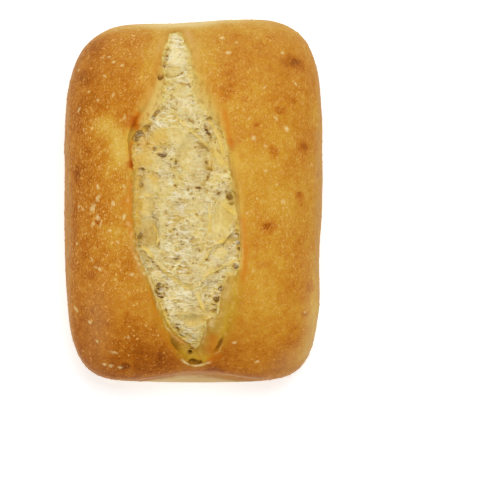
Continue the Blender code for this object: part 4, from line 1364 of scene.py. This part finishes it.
def blended(tree, share, first, second):
    """The first colour, with a share of the second over it."""
    inputs = {"Factor": share, 6: first, 7: second}  # the sixth and seventh are the node's two colours
    return add_node(tree, "ShaderNodeMix", inputs, data_type="RGBA").outputs[2]


def coloured(tree, value, stops):
    """Turns a number from 0 to 1 into a colour by a row of stops."""
    ramp_node = add_node(tree, "ShaderNodeValToRGB", {"Fac": value})
    elements = ramp_node.color_ramp.elements
    while len(elements) < len(stops):
        elements.new(1.0)
    for element, (position, colour) in zip(elements, stops):
        element.position = position
        element.color = linear(*colour)
    return ramp_node.outputs["Color"]


def swells(tree, place, count, detail):
    """Smooth noise from 0 to 1, with so many swells in a metre."""
    inputs = {"Vector": place, "Scale": count, "Detail": detail}
    return add_node(tree, "ShaderNodeTexNoise", inputs).outputs["Fac"]


def swing_of(tree, noise, height):
    """Noise about 0, as high as this."""
    return product(tree, combined(tree, "SUBTRACT", noise, 0.5), height)


def stretched(tree, place, scale, turn=0):
    """Places turned by so many degrees and stretched, so that marks come out longer than wide."""
    inputs = {"Vector": place, "Scale": scale, "Rotation": (0, 0, math.radians(turn))}
    return add_node(tree, "ShaderNodeMapping", inputs).outputs["Vector"]


def bumped(tree, height, strength, depth):
    """Directions of a surface with this fine relief on it."""
    inputs = {"Height": height, "Strength": strength, "Distance": depth}
    return add_node(tree, "ShaderNodeBump", inputs).outputs["Normal"]


print("Shader helpers ready")

# %% [markdown]
# ## Patterns for the finishes
#
# Real crust has specks at several scales: fine flour-pale dots, short dashes, and larger blisters. Each is a
# cell pattern or a noise cut by a threshold, on coordinates bent by noise so that no speck is round. They are
# the loaf's own coordinates, so the patterns sit on the loaf wherever it is.

# %% Bent coordinates, specks and flecks
BEND_DETAIL, BEND_MIDDLE = 1.0, (0.5, 0.5, 0.5)
SPECK_CORE = 0.35  # the share of a speck that is fully pale
FLECK_STRETCH, FLECK_TURN, FLECK_DETAIL = (1.0, 0.55, 1.0), -30, 1.0  # flecks are longer than wide


def bent_coordinates(tree, count, strength):
    """The loaf's own coordinates, bent by noise."""
    place = add_node(tree, "ShaderNodeTexCoord", {}).outputs["Object"]
    noise = {"Vector": place, "Scale": count, "Detail": BEND_DETAIL}
    bend = add_node(tree, "ShaderNodeTexNoise", noise).outputs["Color"]
    for operation, inputs in (
        ("SUBTRACT", {1: BEND_MIDDLE}),
        ("SCALE", {"Scale": strength}),
        ("ADD", {1: place}),
    ):
        bend = add_node(tree, "ShaderNodeVectorMath", {0: bend, **inputs}, operation=operation).outputs[0]
    return bend


def specks(tree, place, cells, threshold, without):
    """Pale specks: 1 in the middle of some cells, 0 elsewhere."""
    cell = add_node(tree, "ShaderNodeTexVoronoi", {"Vector": place, "Scale": cells}, feature="F1")
    chance = add_node(tree, "ShaderNodeSeparateColor", {"Color": cell.outputs["Color"]})
    kept = mapped(tree, chance.outputs["Red"], without, 1.0)
    middle = mapped(tree, cell.outputs["Distance"], threshold, threshold * SPECK_CORE)
    return product(tree, middle, kept)


def flecks(tree, place, count, begin, full):
    """Irregular pale flecks: 1 where the noise is highest, 0 elsewhere."""
    turned = stretched(tree, place, FLECK_STRETCH, FLECK_TURN)
    return mapped(tree, swells(tree, turned, count, FLECK_DETAIL), begin, full)


print("Patterns ready")

# %% [markdown]
# ## The stretched skin
#
# The skin inside the lips fades from the crust's gold to the crumb's cream. It is browner at the near end,
# and darker streaks run along it. Two rows of colours are mixed by how baked the skin is at each place.

# %% The skin's colours and streaks
RAW_SKIN_STOPS = (  # (how far inside the lips, colour as 0 to 255)
    (0.00, (208, 158, 62)),
    (0.40, (212, 174, 84)),
    (1.00, (216, 186, 106)),
)
BAKED_SKIN_STOPS = (
    (0.00, (188, 137, 24)),
    (0.50, (194, 153, 42)),
    (1.00, (186, 144, 52)),
)
STREAK_COLOUR = linear(176, 118, 24)
SKIN_DEPTHS = (-1 * MM, 8 * MM)  # how far inside the lips its colours run
GRAINY_SKIN, GRAINY_SHARE = (0.45, 0.75), 0.35
SKIN_STREAKS = (330.0, 3.0)  # (swells in a metre, detail)
SKIN_STRETCH = (1.0, 0.35, 1.0)  # the streaks run along the loaf
STREAKED_SKIN, STREAKED_SHARE = (0.46, 0.72), 0.60


def make_skin(tree, place, grain, speck_colour):
    """The colour of the stretched skin inside the lips, with streaks along it."""
    depth = mapped(tree, measure_of(tree, "within_lips"), *SKIN_DEPTHS)
    baked = coloured(tree, depth, BAKED_SKIN_STOPS)
    skin = blended(tree, measure_of(tree, "rawness"), baked, coloured(tree, depth, RAW_SKIN_STOPS))
    skin = blended(tree, product(tree, mapped(tree, grain, *GRAINY_SKIN), GRAINY_SHARE), skin, speck_colour)
    streaks = swells(tree, stretched(tree, place, SKIN_STRETCH), *SKIN_STREAKS)
    streaks = product(tree, mapped(tree, streaks, *STREAKED_SKIN), STREAKED_SHARE)
    return blended(tree, streaks, skin, STREAK_COLOUR)


print(f"{len(RAW_SKIN_STOPS)} colours of raw skin and {len(BAKED_SKIN_STOPS)} of baked skin")

# %% [markdown]
# ## The crust's finish
#
# The crust turns its bake into colour, with flecks and specks scattered over it. Over that lie the pale
# walls, the floury foot, the stretched skin, the tinted lines and painted shade in pores and holes. The
# roughness varies with the fine grain, and a bump too fine for the mesh breaks up the shine.

# %% Crust material
CRUST_STOPS = (  # (bake, colour as 0 to 255)
    (0.00, (228, 202, 124)),
    (0.25, (215, 174, 72)),
    (0.50, (204, 148, 44)),
    (0.68, (192, 120, 26)),
    (0.85, (168, 91, 6)),
    (1.00, (132, 64, 4)),
)
SPECK_STOPS = (  # the colours of specks, in the same way
    (0.20, (246, 224, 158)),
    (0.60, (238, 196, 116)),
    (0.95, (220, 154, 60)),
)
FLECK_LAYERS = (  # (flecks in a metre, noise from which they begin and are full, strength)
    (1450, 0.57, 0.67, 0.40),
    (800, 0.60, 0.67, 0.42),
)
SPECK_LAYERS = (  # (cells in a metre, threshold, share of cells without one, strength)
    (750, 0.35, 0.50, 0.95),
    (430, 0.32, 0.50, 0.95),
    (200, 0.20, 0.45, 1.00),
)
WALL_COLOUR = linear(192, 142, 78)
FOOT_COLOUR = linear(228, 198, 140)
AMBER_COLOUR = linear(219, 178, 70)
CRUST_TINTS = (  # (measure, strength, colour), each over the ones before it
    # painted shade in the skin's pores near the torn crumb
    ("pored", 1.0, linear(140, 104, 44)),
    ("flake", 0.95, linear(240, 216, 148)),
    ("amber", 1.0, AMBER_COLOUR),
    ("orange", 1.0, linear(204, 114, 8)),
    ("rust", 1.0, linear(178, 84, 8)),
    # painted shade in holes and gaps
    ("hole", 0.80, linear(136, 88, 18)),
)
CRUST_BEND = (420.0, 0.0022)  # noise that bends places: (swells in a metre, how far)
GRAIN, PEEL, FINE_GRAIN = (480.0, 3.0), (1300.0, 1.0), (1500.0, 2.0)  # (swells in a metre, detail)
GRAIN_BAKE, PEEL_BAKE = 0.24, 0.36  # how much these two change the bake
FULL_BLISTER, BLISTER_SHARE = (0.25, 0.9), 0.6
WALL_STREAKS, STREAKED_WALL, WALL_SHARE = (160.0, 3.0), (0.15, 0.75), 0.85
FOOT_SHARE = 0.8
SKIN_BEGINS = (-4 * MM, 2.5 * MM)  # how far inside the lips
CRUST_ROUGHNESS = (-1.2, 1.9)
CRUST_BUMP = (0.35, 0.00025)  # (strength, depth in metres)
CRUST_LIGHT = {
    "Specular IOR Level": 0.06,
    "Subsurface Weight": 0.05,
    "Subsurface Radius": (1.0, 0.5, 0.2),
    "Subsurface Scale": 0.0015,
}


def make_crust():
    """Golden baked crust, its stretched skin, its pale walls and its floury foot."""
    finish, tree, shader = new_finish("golden_crust")
    place = bent_coordinates(tree, *CRUST_BEND)
    speckle = measure_of(tree, "speckle")
    grain = swells(tree, place, *GRAIN)
    pits = swing_of(tree, swells(tree, place, *PEEL), PEEL_BAKE)
    fine_bake = combined(tree, "ADD", swing_of(tree, grain, GRAIN_BAKE), pits)
    bake_value = combined(tree, "ADD", measure_of(tree, "bake"), fine_bake)
    colour = coloured(tree, bake_value, CRUST_STOPS)
    speck_colour = coloured(tree, bake_value, SPECK_STOPS)
    for count, begin, full, strength in FLECK_LAYERS:
        share = product(tree, flecks(tree, place, count, begin, full), strength, measure_of(tree, "flecked"))
        colour = blended(tree, share, colour, speck_colour)
    for cells, threshold, without, strength in SPECK_LAYERS:
        share = product(tree, specks(tree, place, cells, threshold, without), strength, speckle)
        colour = blended(tree, share, colour, speck_colour)
    blister = product(tree, mapped(tree, measure_of(tree, "blister"), *FULL_BLISTER), speckle, BLISTER_SHARE)
    colour = blended(tree, blister, colour, speck_colour)
    streaks = mapped(tree, swells(tree, place, *WALL_STREAKS), *STREAKED_WALL)
    streaks = product(tree, streaks, WALL_SHARE, measure_of(tree, "paleness"))
    colour = blended(tree, streaks, colour, WALL_COLOUR)
    colour = blended(tree, product(tree, measure_of(tree, "foot"), FOOT_SHARE), colour, FOOT_COLOUR)
    skin = make_skin(tree, place, grain, speck_colour)
    colour = blended(tree, mapped(tree, measure_of(tree, "within_lips"), *SKIN_BEGINS), colour, skin)
    for name, strength, tint in CRUST_TINTS:
        colour = blended(tree, product(tree, measure_of(tree, name), strength), colour, tint)
    fill_inputs(tree, shader, {
        "Base Color": colour,
        "Roughness": mapped(tree, grain, *CRUST_ROUGHNESS),
        "Normal": bumped(tree, swells(tree, place, *FINE_GRAIN), *CRUST_BUMP),
        **CRUST_LIGHT,
    })
    return finish


crust_finish = make_crust()
print(f"{crust_finish.name}: {len(crust_finish.node_tree.nodes)} nodes")

# %% [markdown]
# ## The crumb's finish
#
# Bare crumb is matt and lets light a little way in, so its shadows are warm and never black. Its colour
# follows the painted shade kept on its points: palest on the crests of the cell walls and browner in deep
# pits, with small dark specks of painted shadow for tiny pores. Thin skins over the crumb are a clear
# yellow. Where the crumb is torn into strands, a finer pattern of pale fibres runs across it.

# %% Crumb material
SHADE_STOPS = (  # (painted shade, colour as 0 to 255)
    (0.00, (238, 227, 188)),
    (0.25, (216, 198, 144)),
    (0.55, (190, 162, 98)),
    (0.80, (168, 134, 70)),
    (1.00, (106, 68, 12)),
)
SKIN_STOPS = (  # the same, where thin skin covers the crumb
    (0.00, (230, 208, 130)),
    (0.30, (216, 188, 98)),
    (0.60, (194, 158, 68)),
    (1.00, (146, 110, 46)),
)
FOLD_COLOUR = linear(234, 202, 98)
FIBRE_COLOUR = linear(248, 242, 216)
# Small dark specks of painted shadow, standing for tiny pores
PORE_SHADOW_COLOUR = linear(140, 98, 40)
PORE_SHADOW_LAYERS = (  # (cells in a metre, threshold, share of cells without one, strength)
    (500, 0.42, 0.50, 0.70),
    (280, 0.30, 0.55, 0.80),
)
CRUMB_BEND = (350.0, 0.0020)
CRUMB_GRAIN, CRUMB_PATCHES, FIBRES = (620.0, 1.0), (150.0, 3.0), (820.0, 1.0)
FIBRE_STRETCH, FULL_FIBRE, FIBRE_SHARE = (0.12, 1.0, 1.0), (0.50, 0.66), 0.65  # they run across the loaf
GRAIN_SHADE = -0.34
SMOOTH_SHARE = 0.75
FULL_PATCH, PATCH_SHARE = (0.42, 0.64), 0.65
SKIN_RIM, RIM_SHARE = (4.2 * MM, 0.4 * MM), 0.9  # more skin near the torn edge
CRUMB_BUMP = (0.3, 0.0004)
CRUMB_LIGHT = {
    "Roughness": 0.75,
    "Specular IOR Level": 0.10,
    "Subsurface Weight": 0.25,
    "Subsurface Radius": (1.0, 0.6, 0.3),
    "Subsurface Scale": 0.0012,
}


def make_crumb():
    """Pale matt crumb with painted shade, pale fibres and yellow skins."""
    finish, tree, shader = new_finish("torn_crumb")
    place = bent_coordinates(tree, *CRUMB_BEND)
    grain = swells(tree, place, *CRUMB_GRAIN)
    fibres = mapped(tree, swells(tree, stretched(tree, place, FIBRE_STRETCH), *FIBRES), *FULL_FIBRE)
    fibres = product(tree, measure_of(tree, "stranded"), fibres)
    shade = combined(tree, "ADD", measure_of(tree, "shade"), swing_of(tree, grain, GRAIN_SHADE))
    smooth = product(tree, measure_of(tree, "smoothness"), SMOOTH_SHARE)
    patches = product(tree, mapped(tree, swells(tree, place, *CRUMB_PATCHES), *FULL_PATCH), PATCH_SHARE)
    rim = product(tree, mapped(tree, measure_of(tree, "within_crumb"), *SKIN_RIM), RIM_SHARE)
    skin = combined(tree, "MAXIMUM", combined(tree, "MAXIMUM", smooth, patches), rim)
    skin = product(tree, skin, rest_of(tree, measure_of(tree, "skinless")))
    colour = blended(tree, skin, coloured(tree, shade, SHADE_STOPS), coloured(tree, shade, SKIN_STOPS))
    # dark specks of painted shadow for tiny pores, fewer on smooth walls
    for cells, threshold, without, strength in PORE_SHADOW_LAYERS:
        pits = specks(tree, place, cells, threshold, without)
        colour = blended(tree, product(tree, pits, strength, rest_of(tree, smooth)), colour, PORE_SHADOW_COLOUR)
    colour = blended(tree, measure_of(tree, "amber"), colour, AMBER_COLOUR)
    colour = blended(tree, product(tree, fibres, FIBRE_SHARE), colour, FIBRE_COLOUR)
    colour = blended(tree, measure_of(tree, "fold"), colour, FOLD_COLOUR)
    relief = combined(tree, "ADD", grain, fibres)
    fill_inputs(tree, shader, {
        "Base Color": colour,
        "Normal": bumped(tree, relief, *CRUMB_BUMP),
        **CRUMB_LIGHT,
    })
    return finish


crumb_finish = make_crumb()
for piece in crust_pieces:
    piece.data.materials.append(crust_finish)
for piece in crumb_pieces:
    piece.data.materials.append(crumb_finish)
print(f"{crumb_finish.name}: {len(crumb_finish.node_tree.nodes)} nodes")

# %% [markdown]
# ## Floor and light
#
# The photograph has a pure white ground and hardly any shadow, so the floor is white and glows a little,
# like a light table. One large soft light stands beyond the far end, a weaker one fills from the near left,
# and the white surroundings do the rest.

# %% Floor, lights and surroundings
FLOOR_SIZE = 6.0
WHITE = (1, 1, 1, 1)
FLOOR_LOOK = {
    "Base Color": (0.92, 0.92, 0.92, 1),
    "Roughness": 0.9,
    "Emission Color": WHITE,
    "Emission Strength": 0.40,
}
SURROUNDINGS = 0.42
LIGHTS = (  # (place, size in metres, power in watts)
    ((0.20, 0.50, 1.50), 0.9, 14.0),
    ((-0.7, -0.7, 1.4), 1.2, 5.5),
)


def make_floor():
    """A white floor that glows a little."""
    deselect_all()
    bpy.ops.mesh.primitive_plane_add(size=FLOOR_SIZE)
    floor = bpy.context.object
    floor.name = "floor"
    finish, tree, shader = new_finish("white_floor")
    fill_inputs(tree, shader, FLOOR_LOOK)
    floor.data.materials.append(finish)
    return floor


def make_light(place, size, power):
    """A square soft light that points at the loaf."""
    deselect_all()
    bpy.ops.object.light_add(type="AREA", location=place)
    light = bpy.context.object
    light.data.size = size
    light.data.energy = power
    light.rotation_euler = (Vector((0, 0, LEVEL)) - Vector(place)).to_track_quat("-Z", "Y").to_euler()
    return light


floor = make_floor()
for place, size, power in LIGHTS:
    make_light(place, size, power)
world = bpy.data.worlds.new("white_surroundings")
bpy.context.scene.world = world
world.use_nodes = True
background = world.node_tree.nodes["Background"]
fill_inputs(world.node_tree, background, {"Color": WHITE, "Strength": SURROUNDINGS})
bpy.context.scene.view_settings.view_transform = "Standard"
print(f"{len(LIGHTS)} lights and surroundings of {SURROUNDINGS}")

# %% [markdown]
# ## Attach the pieces
#
# The pieces together stand for the solid loaf. Each rides on the loaf's one body, and the solid is hidden.

# %% Ride on the body, and hide the solid
for piece in (*crust_pieces, *crumb_pieces):
    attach(piece, "root")
    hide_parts("loaf")
